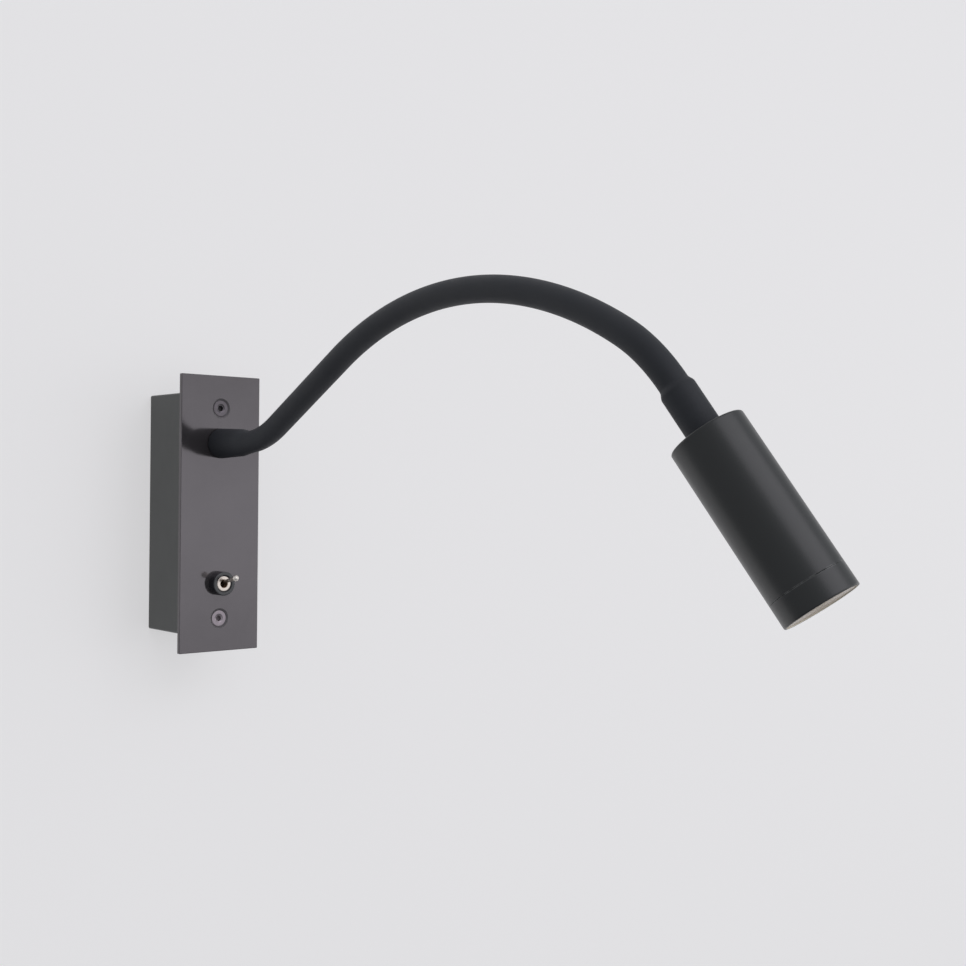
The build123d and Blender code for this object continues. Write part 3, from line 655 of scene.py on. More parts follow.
@dataclass(frozen=True)
class Outline:
    """A rounded rectangle or a round hole, as the outline of a wall."""

    LEAST_CORNER = 0.02

    width: float
    height: float
    corner: float
    x: float = 0.0
    y: float = 0.0
    pieces: int = 5

    def points(self, inset: float) -> list[Point]:
        """Lays out the outline's points.

        Args:
            inset: How far the outline is drawn in. A negative inset widens it.

        Returns:
            Its points in order.
        """
        corner = max(self.corner - inset, self.LEAST_CORNER)
        half_x = self.width / 2 - inset - corner
        half_y = self.height / 2 - inset - corner
        spots = []
        for quarter, (side, up) in enumerate(((1, 1), (-1, 1), (-1, -1), (1, -1))):
            for part in range(self.pieces + 1):
                angle = pi / 2 * (quarter + part / self.pieces)
                spots.append((self.x + side * half_x + corner * cos(angle),
                              self.y + up * half_y + corner * sin(angle)))
        return spots


def round_outline(diameter: float, x: float = 0.0, y: float = 0.0, pieces: int = 12) -> Outline:
    """The outline of a round hole, whose straight runs have no length worth naming."""
    return Outline(diameter, diameter, diameter / 2 - 0.001, x, y, pieces)


class Shell:
    """Gathers rings of points into one closed mesh."""

    def __init__(self) -> None:
        """Starts empty."""
        self.mesh = bmesh.new()
        self.unrolled = self.mesh.loops.layers.uv.new("UVMap")
        self.edge = self.mesh.verts.layers.float.new(EDGE_MASK)

    def ring(self, points: Iterable[Vector], edge: bool = False) -> Ring:
        """Adds one ring.

        Args:
            points: Its points in millimetres.
            edge: Whether it lies on a marked edge, scuffed on some finishes and painted with a highlight
                on others.

        Returns:
            The ring's vertices.
        """
        made = [self.mesh.verts.new(point * METRES) for point in points]
        for vertex in made:
            vertex[self.edge] = float(edge)
        return made

    def bridge(self, rings: list[Ring], closed: bool = False, start: float = 0.0,
               paint: Sequence[int] = ()) -> None:
        """Joins rings of equal count into a wall.

        Args:
            rings: The rings in order.
            closed: Whether the last one is joined to the first.
            start: Where the unrolled surface begins, in metres.
            paint: Material index of each band, where it isn't the first.
        """
        travelled = start
        onward = rings[1:] + (rings[:1] if closed else [])
        for band, (low, high) in enumerate(zip(rings, onward)):
            count = len(low)
            around = sum((low[i].co - low[i - 1].co).length for i in range(count))
            step = sum((high[i].co - low[i].co).length for i in range(count)) / count
            for i in range(count):
                j = (i + 1) % count
                face = self.mesh.faces.new((low[i], low[j], high[j], high[i]))
                face.material_index = paint[band] if paint else 0
                corners = ((i, 0.0), (i + 1, 0.0), (i + 1, step), (i, step))
                for loop, (turn, rise) in zip(face.loops, corners):
                    loop[self.unrolled].uv = (around * turn / count, travelled + rise)
            travelled += step

    def turned(self, place: Place, levels: Sequence[Level], sides: int = 96, spin: float = 0.0,
               paint: Sequence[int] = ()) -> None:
        """Adds a solid turned about a place's height.

        Args:
            place: Where it stands.
            levels: Its rings. Where the first and last have no radius it is closed, else a tube.
            sides: Points in a ring.
            spin: How far it is turned about its own line, in degrees.
            paint: Material index of each band.
        """
        tipped = levels[0].reach < TINY
        rings = []
        for level in levels:
            if level.reach < TINY:
                continue
            points = []
            for angle in (tau * i / sides for i in range(sides)):
                reach = level.reach / (cos(angle % (pi / 3) - pi / 6) if level.flats else 1)
                turn = angle + radians(spin)
                points.append(place.at(reach * cos(turn), reach * sin(turn), level.height))
            rings.append(self.ring(points, level.edge))
        self.bridge(rings, closed=not tipped, paint=paint)
        for end in (0, -1) if tipped else ():
            peak = self.mesh.verts.new(place.at(0, 0, levels[end].height) * METRES)
            for vertex, follower in zip(rings[end], rings[end][1:] + rings[end][:1]):
                face = self.mesh.faces.new((vertex, follower, peak))
                face.material_index = paint[end] if paint else 0
                for loop in face.loops:
                    loop[self.unrolled].uv = loop.vert.co.xz

    def flat(self, place: Place, walls: Iterable[tuple[Outline, Sequence[Level], Sequence[int]]]) -> None:
        """Adds a flat piece from its outer wall and the walls of its holes.

        Args:
            place: Where the piece lies.
            walls: Each one's outline, rings from the lower face to the upper, and paint.
        """
        ends = []
        for outline, levels, paint in walls:
            rings = [self.ring((place.at(x, y, level.height) for x, y in outline.points(level.reach)),
                               level.edge) for level in levels]
            self.bridge(rings, paint=paint)
            ends.append((rings[0], rings[-1]))
        for loops in zip(*ends):
            edges = [self.mesh.edges.get(pair)
                     for loop in loops for pair in zip(loop, loop[1:] + loop[:1])]
            bmesh.ops.triangle_fill(self.mesh, edges=edges, use_beauty=True)

    def finish(self, name: str, *paints: Finish, sharp: float = 32.0, even_flats: bool = True) -> Object:
        """Turns the shell into an object.

        Args:
            name: The piece's name.
            paints: Its finishes, by material index.
            sharp: Angle from which an edge stays crisp, in degrees.
            even_flats: Whether large flat faces keep an even shade.

        Returns:
            The object.
        """
        bmesh.ops.recalc_face_normals(self.mesh, faces=self.mesh.faces)
        data = bpy.data.meshes.new(name)
        self.mesh.to_mesh(data)
        self.mesh.free()
        for face in data.polygons:
            face.use_smooth = True
        data.set_sharp_from_angle(angle=radians(sharp))
        for paint in paints:
            data.materials.append(paint.material())
        piece = put_in_scene(name, data)
        if even_flats:
            weighted = piece.modifiers.new("even_flats", "WEIGHTED_NORMAL")
            weighted.keep_sharp = True
            weighted.weight = 100
        return piece


# --- sub-assemblies


class SubAssembly:
    """What every sub-assembly shares."""

    body = "wall_box"

    def settle(self, piece: Object, slot: str, *nodes: str) -> None:
        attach(piece, self.body)
        self.declare(piece, slot, *nodes)

    def declare(self, piece: Object, slot: str, *nodes: str) -> None:
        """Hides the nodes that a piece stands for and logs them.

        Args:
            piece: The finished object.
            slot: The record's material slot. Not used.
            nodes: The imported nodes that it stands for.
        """
        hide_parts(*nodes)
        log.info("%s: %d faces, in place of %s", piece.name, len(piece.data.polygons), ", ".join(nodes))

    def build(self) -> None:
        """Builds and dresses every piece."""
        raise NotImplementedError


@dataclass
class WallBox(SubAssembly):
    """The folded steel back box with its two lugs, and the rubber grommet in its rear wall."""

    width: float = 43.0
    height: float = 139.0
    depth: float = 43.5
    sheet: float = 1.5
    corner: float = 1.1
    edge: float = 0.3
    lug_width: float = 20.0
    lug_reach: float = 12.0
    lug_thickness: float = 2.0
    lug_hole: float = 5.2
    screw_height: float = 61.0
    wall_hole: float = 5.0
    wall_hole_height: float = 52.0
    earth_hole: float = 4.0
    earth_side: float = 16.0
    earth_height: float = -43.0
    grommet_height: float = 38.0
    grommet_neck: float = 9.0
    grommet_flange: float = 12.0
    grommet_flange_thickness: float = 2.0
    grommet_bore: float = 6.0
    grommet_play: float = 0.05
    hole_edge: float = 0.15

    def build(self) -> None:
        """Builds the box and its grommet."""
        self.make_box()
        self.make_grommet()

    def make_box(self) -> None:
        """Builds the open box in one closed shell, with its lugs."""
        shell = Shell()
        outer = rounded_levels([
            (self.edge * 2, 0), (0, 0, self.edge), (0, self.depth, self.edge),
            (self.sheet, self.depth, self.edge), (self.sheet, self.sheet),
        ])
        holes = (
            (self.wall_hole, 0, self.wall_hole_height), (self.wall_hole, 0, -self.wall_hole_height),
            (self.grommet_neck, 0, self.grommet_height),
            (self.earth_hole, self.earth_side, self.earth_height),
        )
        through = self.hole_levels(self.sheet)
        shell.flat(facing_room(0), [(Outline(self.width, self.height, self.corner), outer, ()),
                                    *((round_outline(*hole), through, ()) for hole in holes)])
        edge = self.hole_edge
        face = self.lug_thickness - edge
        sides = rounded_levels([(edge * 2, 0), (0, 0, edge), (0, face, edge), (edge * 2, face)])
        for side in (1, -1):
            middle = side * (self.height / 2 - self.sheet - self.lug_reach / 2 + self.sheet / 4)
            lug = Outline(self.lug_width, self.lug_reach + self.sheet / 2, self.corner, 0, middle)
            hole = round_outline(self.lug_hole, 0, side * self.screw_height)
            shell.flat(facing_room(self.depth - self.lug_thickness),
                       [(lug, sides, ()), (hole, self.hole_levels(face), ())])
        self.settle(shell.finish("back_box_folded", BOX_METAL), "box_paint", "back_box")

    def hole_levels(self, thickness: float) -> list[Level]:
        """The rings of a hole with broken edges, through a sheet of the given thickness."""
        edge = self.hole_edge
        return [Level(-edge - EDGE_BAND, 0), Level(-edge, 0, edge=True), Level(0, edge),
                Level(0, thickness - edge), Level(-edge, thickness, edge=True),
                Level(-edge - EDGE_BAND, thickness)]

    def make_grommet(self) -> None:
        """Builds the grommet that lines the cable hole."""
        shell = Shell()
        neck = self.grommet_neck / 2 - self.grommet_play
        flange = self.grommet_flange / 2
        bore = self.grommet_bore / 2
        top = self.sheet + self.grommet_flange_thickness
        shell.turned(facing_room(0, self.grommet_height), rounded_levels([
            (bore, 0, 0.4), (neck, 0, 0.25), (neck, self.sheet),
            (flange, self.sheet, 0.3), (flange, top, 0.8), (bore, top, 0.6),
        ], closed=True), 64)
        self.settle(shell.finish("grommet_lining", GROMMET_RUBBER), "grommet_rubber", "cable_grommet")


@dataclass
class FrontPlate(SubAssembly):
    """The flat front plate and the two countersunk socket screws that hold it."""

    width: float = 51.0
    height: float = 160.0
    thickness: float = 2.5
    back_depth: float = 43.5
    corner: float = 0.5
    edge: float = 0.3
    hole_edge: float = 0.1
    screw_height: float = 61.0
    sink_diameter: float = 11.2
    neck_diameter: float = 5.2
    sink_crest: float = 0.05
    sink_crest_depth: float = 0.08
    arm_hole: float = 10.2
    arm_height: float = 40.6
    switch_hole: float = 9.2
    switch_height: float = -40.6
    screw_head: float = 10.0
    screw_shank: float = 5.0
    screw_length: float = 16.0
    screw_spins: Point = (12.0, 41.0)
    socket_flats: float = 3.0
    socket_depth: float = 1.9

    def build(self) -> None:
        """Builds the plate and its screws."""
        self.make_plate()
        self.make_screws()

    def make_plate(self) -> None:
        """Builds the plate with softly broken edges and crisp countersinks."""
        shell = Shell()
        top = self.thickness
        rim = rounded_levels([
            (self.edge * 2, 0), (0, 0, self.edge / 2), (0, top, self.edge), (self.edge * 2, top),
        ])
        through = [Level(0, 0), Level(0, top - self.hole_edge), Level(-self.hole_edge, top, edge=True),
                   Level(-self.hole_edge - EDGE_BAND, top)]
        walls = [(Outline(self.width, self.height, self.corner), rim, ()),
                 (round_outline(self.arm_hole, 0, self.arm_height), through, ()),
                 (round_outline(self.switch_hole, 0, self.switch_height), through, ())]
        slope = (self.sink_diameter - self.neck_diameter) / 2
        crest = -slope - self.sink_crest
        sink = [Level(top - slope, 0), Level(-slope + self.sink_crest_depth, top - self.sink_crest_depth),
                Level(crest, top, edge=True), Level(crest - EDGE_BAND, top)]
        for side in (1, -1):
            neck = round_outline(self.neck_diameter, 0, side * self.screw_height, 16)
            # The cone's bands take the countersink's painted shade ring.
            walls.append((neck, sink, (1, 1, 0)))
        shell.flat(facing_room(self.back_depth), walls)
        plate = shell.finish("front_plate_flat", PLATE_METAL, SINK_PAINTED_SHADE)
        self.settle(plate, "plate_finish", "front_plate")

    def make_screws(self) -> None:
        """Builds both screws, each with its six-sided socket."""
        shell = Shell()
        front = self.back_depth + self.thickness
        head = self.screw_head / 2
        shank = self.screw_shank / 2
        drop = (self.sink_diameter - self.screw_head) / 2
        foot = -self.screw_length + drop
        key = self.socket_flats / 2
        levels = rounded_levels([
            (0, foot), (shank, foot, 0.5), (shank, shank - head, 0.3), (head, 0, 0.25),
            (key + 1.15, 0, 0.25), (key + 0.55, -0.32, 0.1),
        ])
        face = len(levels)
        levels += [Level(key + 0.12, -0.36, True, True), Level(key, -0.5, True, True),
                   Level(key, -self.socket_depth, True), Level(0, -self.socket_depth - 0.5)]
        for index, (side, spin) in enumerate(zip((1, -1), self.screw_spins)):
            # The top screw takes the shaded plating and socket, the bottom screw the lit ones: painted
            # light and shade on two like screws.
            paint = [index if band < face - 1 else 2 + index for band in range(len(levels))]
            shell.turned(facing_room(front - drop, side * self.screw_height), levels, 48, spin, paint)
        pair = shell.finish("cover_screw_pair", SCREW_SHADED_COPY, SCREW_LIT_COPY, SOCKET_PAINTED_SHADE, SOCKET_LIT_COPY)
        self.settle(pair, "screw_black", "cover_screws")


@dataclass
class ToggleSwitch(SubAssembly):
    """The toggle switch's ring nut and bush, which stand in front of the plate."""

    height: float = -40.6
    plate_front: float = 46.0
    nut_diameter: float = 13.8
    nut_length: float = 5.6
    nut_edge: float = 0.5
    nut_dish: float = 0.5
    nut_play: float = 0.05
    bush_diameter: float = 9.0
    bush_bore: float = 5.0
    bush_mouth: float = 2.25
    bush_length: float = 10.6

    def build(self) -> None:
        """Builds the ring nut and the bush."""
        self.make_ring_nut()
        self.make_bush()

    def make_ring_nut(self) -> None:
        """Builds the round nut with its rolled front edge."""
        shell = Shell()
        outer = self.nut_diameter / 2
        bore = self.bush_diameter / 2 + self.nut_play
        top = self.nut_length
        shell.turned(facing_room(self.plate_front, self.height), rounded_levels([
            (bore, 0), (outer, 0, 0.2), (outer, top, self.nut_edge),
            (bore + 0.55, top, 0.25), (bore, top - self.nut_dish, 0.1),
        ], closed=True))
        self.settle(shell.finish("ring_nut_round", RING_BLACK), "ring_nut_black", "switch_ring_nut")

    def make_bush(self) -> None:
        """Builds the chromed bush, open at its middle for the lever."""
        shell = Shell()
        outer = self.bush_diameter / 2
        bore = self.bush_bore / 2
        front = self.plate_front + self.nut_length - self.nut_dish
        levels = rounded_levels([
            (outer, 0, 0.45), (self.bush_mouth, 0, 0.25), (self.bush_mouth, -0.7), (bore, -1.6),
            (bore, -self.bush_length), (outer, -self.bush_length, 0.2),
        ], closed=True)
        paint = [int(level.reach < bore + 0.1) for level in levels]
        shell.turned(facing_room(front, self.height), levels, paint=paint)
        self.settle(shell.finish("bush_chromed", CHROME, BORE_BRONZE), "switch_chrome", "switch_bush")


@dataclass
class SwitchLever(SubAssembly):
    """The toggle switch's lever, up at rest."""

    body = "switch_lever"

    pivot_depth: float = 46.2
    pivot_height: float = -40.6
    tilt: float = 12.5
    ball: float = 2.3
    ball_pieces: int = 14
    neck: float = 1.0
    neck_length: float = 8.0
    swell_pieces: int = 9
    swell_power: float = 1.35
    tip: float = 1.8
    tip_start: float = 60.0
    reach: float = 18.2
    tail: float = 0.7
    tail_edge: float = 0.2
    tail_length: float = 10.0
    highlight_from: float = 10.0

    def build(self) -> None:
        """Builds the lever from its tail to its rounded tip."""
        lean = radians(self.tilt)
        place = Place(Vector((0, -self.pivot_depth, self.pivot_height)),
                      Vector((0, -cos(lean), sin(lean))), Vector((1, 0, 0)))
        points = [(0, -self.tail_length), (self.tail - self.tail_edge, -self.tail_length),
                  (self.tail, self.tail_edge - self.tail_length)]
        points += self.ball_points(self.ball, 0, degrees(asin(self.tail / self.ball)),
                                   180 - degrees(asin(self.neck / self.ball)))
        points.append((self.neck, self.neck_length))
        swell = self.tip * sin(radians(self.tip_start))
        shoulder = self.reach - self.tip * cos(radians(self.tip_start))
        for share in (part / self.swell_pieces for part in range(1, self.swell_pieces)):
            points.append((self.neck + (swell - self.neck) * share ** self.swell_power,
                           self.neck_length + (shoulder - self.neck_length) * share))
        points += self.ball_points(self.tip, self.reach, self.tip_start, 180)
        points[-1] = (0, self.reach + self.tip)
        # Past the given height the lever takes the painted highlight, below it the painted shade.
        paint = [int(height > self.highlight_from) for _, height in points]
        shell = Shell()
        shell.turned(place, [Level(*point) for point in points], 48, paint=paint)
        lever = shell.finish("toggle_lever", NECK_PAINTED_SHADE, TIP_PAINTED_HIGHLIGHT, sharp=50.0, even_flats=False)
        self.settle(lever, "switch_chrome", "switch_lever")

    def ball_points(self, radius: float, height: float, start: float, end: float) -> list[Point]:
        """Lays out points on a ball's outline.

        Args:
            radius: The ball's radius.
            height: Where its centre lies.
            start: First angle from straight down its axis, in degrees.
            end: Last angle.

        Returns:
            Radius and height of each point.
        """
        count = self.ball_pieces
        angles = [radians(start + (end - start) * part / count) for part in range(count + 1)]
        return [(radius * sin(angle), height - radius * cos(angle)) for angle in angles]


@dataclass(frozen=True)
class Stretch:
    """One straight or evenly curved stretch of the arm's centreline."""

    start: Vector
    before: Vector
    after: Vector
    length: float

    def frame(self, travel: float) -> tuple[Vector, Vector]:
        """The point and the direction at a distance along it.

        Args:
            travel: The distance from its start.

        Returns:
            The point and the unit direction.
        """
        turn = between(self.before, self.after)
        if turn < TINY:
            return self.start + self.before * travel, self.before
        radius = self.length / turn
        angle = travel / radius
        inward = (self.after - self.before * self.before.dot(self.after)).normalized()
        spot = self.start + self.before * (radius * sin(angle)) + inward * (radius * (1 - cos(angle)))
        return spot, self.before * cos(angle) + inward * sin(angle)


def heading(climb: float, swing: float = 0.0) -> Vector:
    """The direction that leaves the wall, lifted by climb and turned toward +X by swing, in degrees."""
    up, side = radians(climb), radians(swing)
    return Vector((sin(side) * cos(up), -cos(side) * cos(up), sin(up)))


@dataclass
class FlexibleArm(SubAssembly):
    """The gooseneck's smooth rubber sleeve, in six bends that each cross one joint."""

    plate_front: float = 46.0
    height: float = 40.6
    core: float = 9.4
    fit: float = 0.1
    sleeve: float = 1.5
    root_cover: float = 15.6
    root_length: float = 22.0
    root_taper: float = 6.0
    root_fade: float = 12.0
    root_flare: float = 0.9
    head_cover: float = 15.0
    head_length: float = 20.0
    head_taper: float = 3.5
    barrel_play: float = 0.3
    gap: float = 0.3
    end_round: float = 0.7
    sides: int = 72
    spacing: float = 1.5
    closest: float = 0.02
    near_step: float = 0.6
    overlap: float = 2.0
    bodies: tuple[str, ...] = ("wall_box", *(f"arm_link_{link}" for link in range(1, 6)), "lamp_head")
    nodes: tuple[tuple[str, ...], ...] = (("sleeve_root", "sleeve_link_1"),
                                          *((f"sleeve_link_{link}",) for link in range(2, 6)),
                                          ("sleeve_end",))

    def __post_init__(self) -> None:
        """Lays out the centreline and the six joints."""
        bends = (
            (self.root_length + self.root_taper, heading(0)), (34.0, heading(28.7)),
            (67.8, heading(28.7)), (128.0, heading(-8.1)), (79.4, heading(-29.7)),
            (32.0, heading(-55.2, 20.8)), (self.head_length + self.head_taper, heading(-55.2, 20.8)),
        )
        self.stretches: list[Stretch] = []
        spot, direction = Vector((0, -self.plate_front, self.height)), heading(0)
        for length, after in bends:
            stretch = Stretch(spot, direction, after, length)
            self.stretches.append(stretch)
            spot, direction = stretch.frame(length)[0], after
        self.length = sum(length for length, _ in bends)
        first = bends[0][0]
        element = (self.length - first - bends[-1][0]) / len(self.nodes)
        self.joints = [first + element * (index + 0.5) for index in range(len(self.nodes))]
        self.reach = element / 2

    def place(self, station: float) -> Place:
        """Finds the place across the arm at a station.

        Args:
            station: Distance along the arm from the plate's face.

        Returns:
            The place, with its height along the arm.
        """
        travelled = 0.0
        for stretch in self.stretches:
            if station < travelled + stretch.length or stretch is self.stretches[-1]:
                break
            travelled += stretch.length
        spot, direction = stretch.frame(station - travelled)
        across = Vector((1, 0, 0)) - direction * direction.x
        return Place(spot, direction, across.normalized())

    def outside(self, station: float) -> float:
        """Works out the sleeve's outer radius at a station.

        Args:
            station: Distance along the arm.

        Returns:
            The radius, swollen over the ferrule at either end and rounded at the sleeve's ends.
        """
        plain = self.core / 2 + self.fit + self.sleeve
        radius = plain
        for travel, cover, length, taper, flare in (
            (station, self.root_cover, self.root_length, self.root_fade, self.root_flare),
            (self.length - station, self.head_cover, self.head_length, self.head_taper, 0.0),
        ):
            share = min(1.0, max(0.0, (length + taper - travel) / taper))
            ease = share * share * (3 - 2 * share)
            radius += (cover / 2 - plain) * ease + flare * max(0.0, 1 - travel / length)
            drop = 1 - (travel - self.gap) / self.end_round
            if drop > 0:
                radius -= self.end_round * (1 - sqrt(max(0.0, 1 - drop * drop)))
        return radius

    def inside(self, station: float) -> float:
        """Works out the sleeve's inner radius at a station. See outside for Args and Returns."""
        travel, barrel, cover = min((station, self.root_length, self.root_cover),
                                    (self.length - station, self.head_length, self.head_cover))
        if travel < barrel + self.barrel_play:
            return cover / 2 - self.sleeve
        return self.core / 2 + self.fit

    def stations(self, low: float, high: float) -> list[float]:
        """Chooses where the rings of one bend lie.

        Args:
            low: Its first station.
            high: Its last station.

        Returns:
            The stations, closer together where the radius changes.
        """
        count = round((high - low) / self.spacing)
        spots = {low + (high - low) * index / count for index in range(count + 1)}
        for part in range(7):
            into = self.gap + self.end_round * (1 - cos(pi / 2 * part / 6))
            spots |= {into, self.length - into}
        for share in (part / 12 for part in range(13)):
            spots.add(self.root_length + self.root_fade * share)
            spots.add(self.length - self.head_length - self.head_taper * share)
        kept: list[float] = []
        for spot in sorted(spots):
            if low <= spot <= high and (not kept or spot - kept[-1] > self.closest):
                kept.append(spot)
        return kept

    def build(self) -> None:
        """Builds the six bends, from the plate outward."""
        for index in range(len(self.joints)):
            self.make_bend(index)

    def make_bend(self, index: int) -> None:
        """Builds one bend as a closed tube wall across one joint of the arm.

        Args:
            index: Which bend it is.
        """
        joint = self.joints[index]
        low = self.gap if index == 0 else joint - self.reach
        high = self.length - self.gap if index == len(self.joints) - 1 else joint + self.reach
        spots = self.stations(low, high)
        steps = (self.root_length, self.length - self.head_length)
        inner = {spot for spot in spots
                 if spot in (low, high) or any(abs(spot - step) < self.near_step for step in steps)}
        inner |= {low + (high - low) * part / 12 for part in range(1, 12)}
        levels = [(spot, self.outside(spot)) for spot in spots]
        levels += [(spot, self.inside(spot)) for spot in sorted(inner, reverse=True)]
        turns = [tau * i / self.sides for i in range(self.sides)]
        shell = Shell()
        rings = []
        for spot, radius in levels:
            place = self.place(spot)
            rings.append(shell.ring(place.at(radius * cos(turn), radius * sin(turn), 0) for turn in turns))
        shell.bridge(rings, closed=True, start=low * METRES)
        piece = shell.finish(f"sleeve_bend_{index + 1}", SLEEVE_RUBBER, sharp=50.0, even_flats=False)
        start = self.place(joint - self.reach + self.overlap).origin * METRES
        end = self.place(joint + self.reach - self.overlap).origin * METRES
        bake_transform(piece)
        self.declare(piece, "arm_sleeve", *self.nodes[index])


@dataclass
class LampHead(SubAssembly):
    """The turned head: housing, bezel, ribbed lens and reflector."""

    body = "lamp_head"

    arm: FlexibleArm
    diameter: float = 32.0
    length: float = 78.0
    wall: float = 2.2
    back_wall: float = 3.0
    stud_hole: float = 10.2
    bezel_length: float = 10.0
    lip: float = 0.9
    play: float = 0.1
    seam_gap: float = 0.05
    spigot_wall: float = 1.0
    spigot_length: float = 4.0
    back_edge: float = 0.7
    seam_edge: float = 0.14
    bezel_edge: float = 0.5
    lens_thickness: float = 3.6
    lens_recess: float = 0.4
    lens_edge: float = 0.15
    ledge_width: float = 2.2
    ledge_thickness: float = 1.7
    rib_start: float = 0.5
    rib_pitch: float = 0.9
    rib_depth: float = 0.1
    reflector_throat: float = 10.0
    reflector_depth: float = 15.6
    reflector_wall: float = 0.8
    reflector_rim: float = 1.2
    reflector_power: float = 0.8

    def build(self) -> None:
        """Builds the head's visible pieces at the arm's end."""
        self.place = self.arm.place(self.arm.length)
        self.outer = self.diameter / 2
        self.bore = self.outer - self.wall
        self.mouth = self.outer - self.lip
        self.seam = self.length - self.bezel_length
        self.spigot_top = self.seam + self.spigot_length
        self.lens_back = self.length - self.lens_recess - self.lens_thickness
        self.make_housing()
        self.make_bezel()
        self.make_lens()
        self.make_reflector()

    def seam_highlight_levels(self, levels: Sequence[Level]) -> list[Level]:
        """The same rings, whose edges are marked only next to the seam, where the edge colour paints its
        highlight line.
        """
        return [replace(level, edge=level.edge and abs(level.height - self.seam) < 1) for level in levels]

    def make_housing(self) -> None:
        """Builds the housing with its soft back edge and the spigot that the bezel slides on."""
        shell = Shell()
        outer, hole, spigot = self.outer, self.stud_hole / 2, self.bore + self.spigot_wall
        shell.turned(self.place, self.seam_highlight_levels(rounded_levels([
            (hole, 0, 0.2), (outer, 0, self.back_edge), (outer, self.seam, self.seam_edge),
            (spigot, self.seam), (spigot, self.spigot_top, 0.2), (self.bore, self.spigot_top, 0.2),
            (self.bore, self.back_wall, 0.3), (hole, self.back_wall, 0.2),
        ], 5, closed=True)), 128)
        self.settle(shell.finish("housing_turned", HEAD_PAINT), "head_paint", "head_housing")

    def make_bezel(self) -> None:
        """Builds the bezel, whose inner lip takes a gold finish painted near white as a highlight line."""
        shell = Shell()
        outer, mouth, floor = self.outer, self.mouth, self.lens_back
        inner = self.bore + self.spigot_wall + self.play
        low = self.seam + self.seam_gap
        ledge = mouth - self.ledge_width
        levels = self.seam_highlight_levels(rounded_levels([
            (inner, low), (outer, low, self.seam_edge), (outer, self.length, self.bezel_edge),
            (mouth, self.length, 0.2), (mouth, floor), (ledge, floor, 0.2),
            (ledge, floor - self.ledge_thickness, 0.2), (inner, floor - self.ledge_thickness),
        ], closed=True))
        # Faces at the mouth take the inner finish, whose near-white colour paints the far lip's highlight.
        paint = [int(level.reach <= mouth + 0.12 and level.height > self.spigot_top) for level in levels]
        shell.turned(self.place, levels, 128, paint=paint)
        self.settle(shell.finish("bezel_turned", HEAD_PAINT, BEZEL_INSIDE_GOLD_HIGHLIGHT), "head_paint", "bezel_ring")

    def make_lens(self) -> None:
        """Builds the lens, with shallow rings moulded into its face."""
        shell = Shell()
        radius = self.mouth - self.play
        low, top, edge = self.lens_back, self.length - self.lens_recess, self.lens_edge
        levels = rounded_levels([(0, low), (radius, low, edge), (radius, top, edge), (0, top)])[:-1]
        reach = radius - self.rib_start
        levels.append(Level(reach, top))
        while reach > self.rib_pitch:
            for share, drop in ((0.25, 0.7), (0.5, 1.0), (0.75, 0.7), (1.0, 0.0)):
                levels.append(Level(reach - self.rib_pitch * share, top - self.rib_depth * drop))
            reach -= self.rib_pitch
        levels.append(Level(0, top))
        shell.turned(self.place, levels)
        lens = shell.finish("lens_ribbed", LENS_PLASTIC, sharp=60.0, even_flats=False)
        self.settle(lens, "lens", "front_lens")

    def make_reflector(self) -> None:
        """Builds the spun reflector behind the lens."""
        shell = Shell()
        throat = self.reflector_throat / 2
        top = self.spigot_top
        rim = top - self.reflector_rim
        foot = top - self.reflector_depth
        edge = self.bore - self.play
        mouth = edge - self.reflector_wall - self.reflector_rim
        back, power = throat + self.reflector_wall, self.reflector_power
        levels = [Level(throat + (mouth - throat) * share ** power, foot + self.reflector_depth * share)
                  for share in (part / 16 for part in range(17))]
        levels += [Level(edge, top), Level(edge, rim), Level(mouth + self.reflector_wall, rim)]
        levels += [Level(back + (mouth - throat) * share ** power, foot + (rim - foot) * share)
                   for share in (1 - part / 8 for part in range(1, 9))]
        shell.turned(self.place, levels)
        self.settle(shell.finish("reflector_spun", REFLECTOR_METAL), "reflector_aluminium", "reflector")


class CarriedOver(SubAssembly):
    """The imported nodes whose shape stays: the pieces inside the box, the arm and the head."""

    def build(self) -> None:
        """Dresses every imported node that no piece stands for, by its material slot."""
        slots = {row["node"]: row["material_slot"] for row in frame["record"]["subparts"]}
        for name, node in sorted(frame["nodes"].items()):
            if node.hide_render:
                continue
            paint = SLOT_FINISHES[slots[name]].material()
            if not node.material_slots:
                node.data.materials.append(paint)
            for slot in node.material_slots:
                slot.material = paint
            log.info("%s: kept, in %s", name, paint.name)


# --- studio


@dataclass(frozen=True)
class SoftBox:
    """One soft lamp of the studio."""

    name: str
    place: Triple
    aim: Triple
    width: float
    height: float
    radiance: float
    tint: Triple = (1.0, 1.0, 1.0)

    def light(self) -> None:
        """Hangs the lamp, hidden from the camera itself."""
        data = bpy.data.lights.new(self.name, "AREA")
        data.shape = "RECTANGLE"
        data.size, data.size_y = self.width, self.height
        data.energy = self.radiance * self.width * self.height * pi
        data.color = self.tint
        lamp = put_in_scene(self.name, data)
        lamp.location = self.place
        lamp.rotation_euler = (Vector(self.aim) - Vector(self.place)).to_track_quat("-Z", "Y").to_euler()
        lamp.visible_camera = False


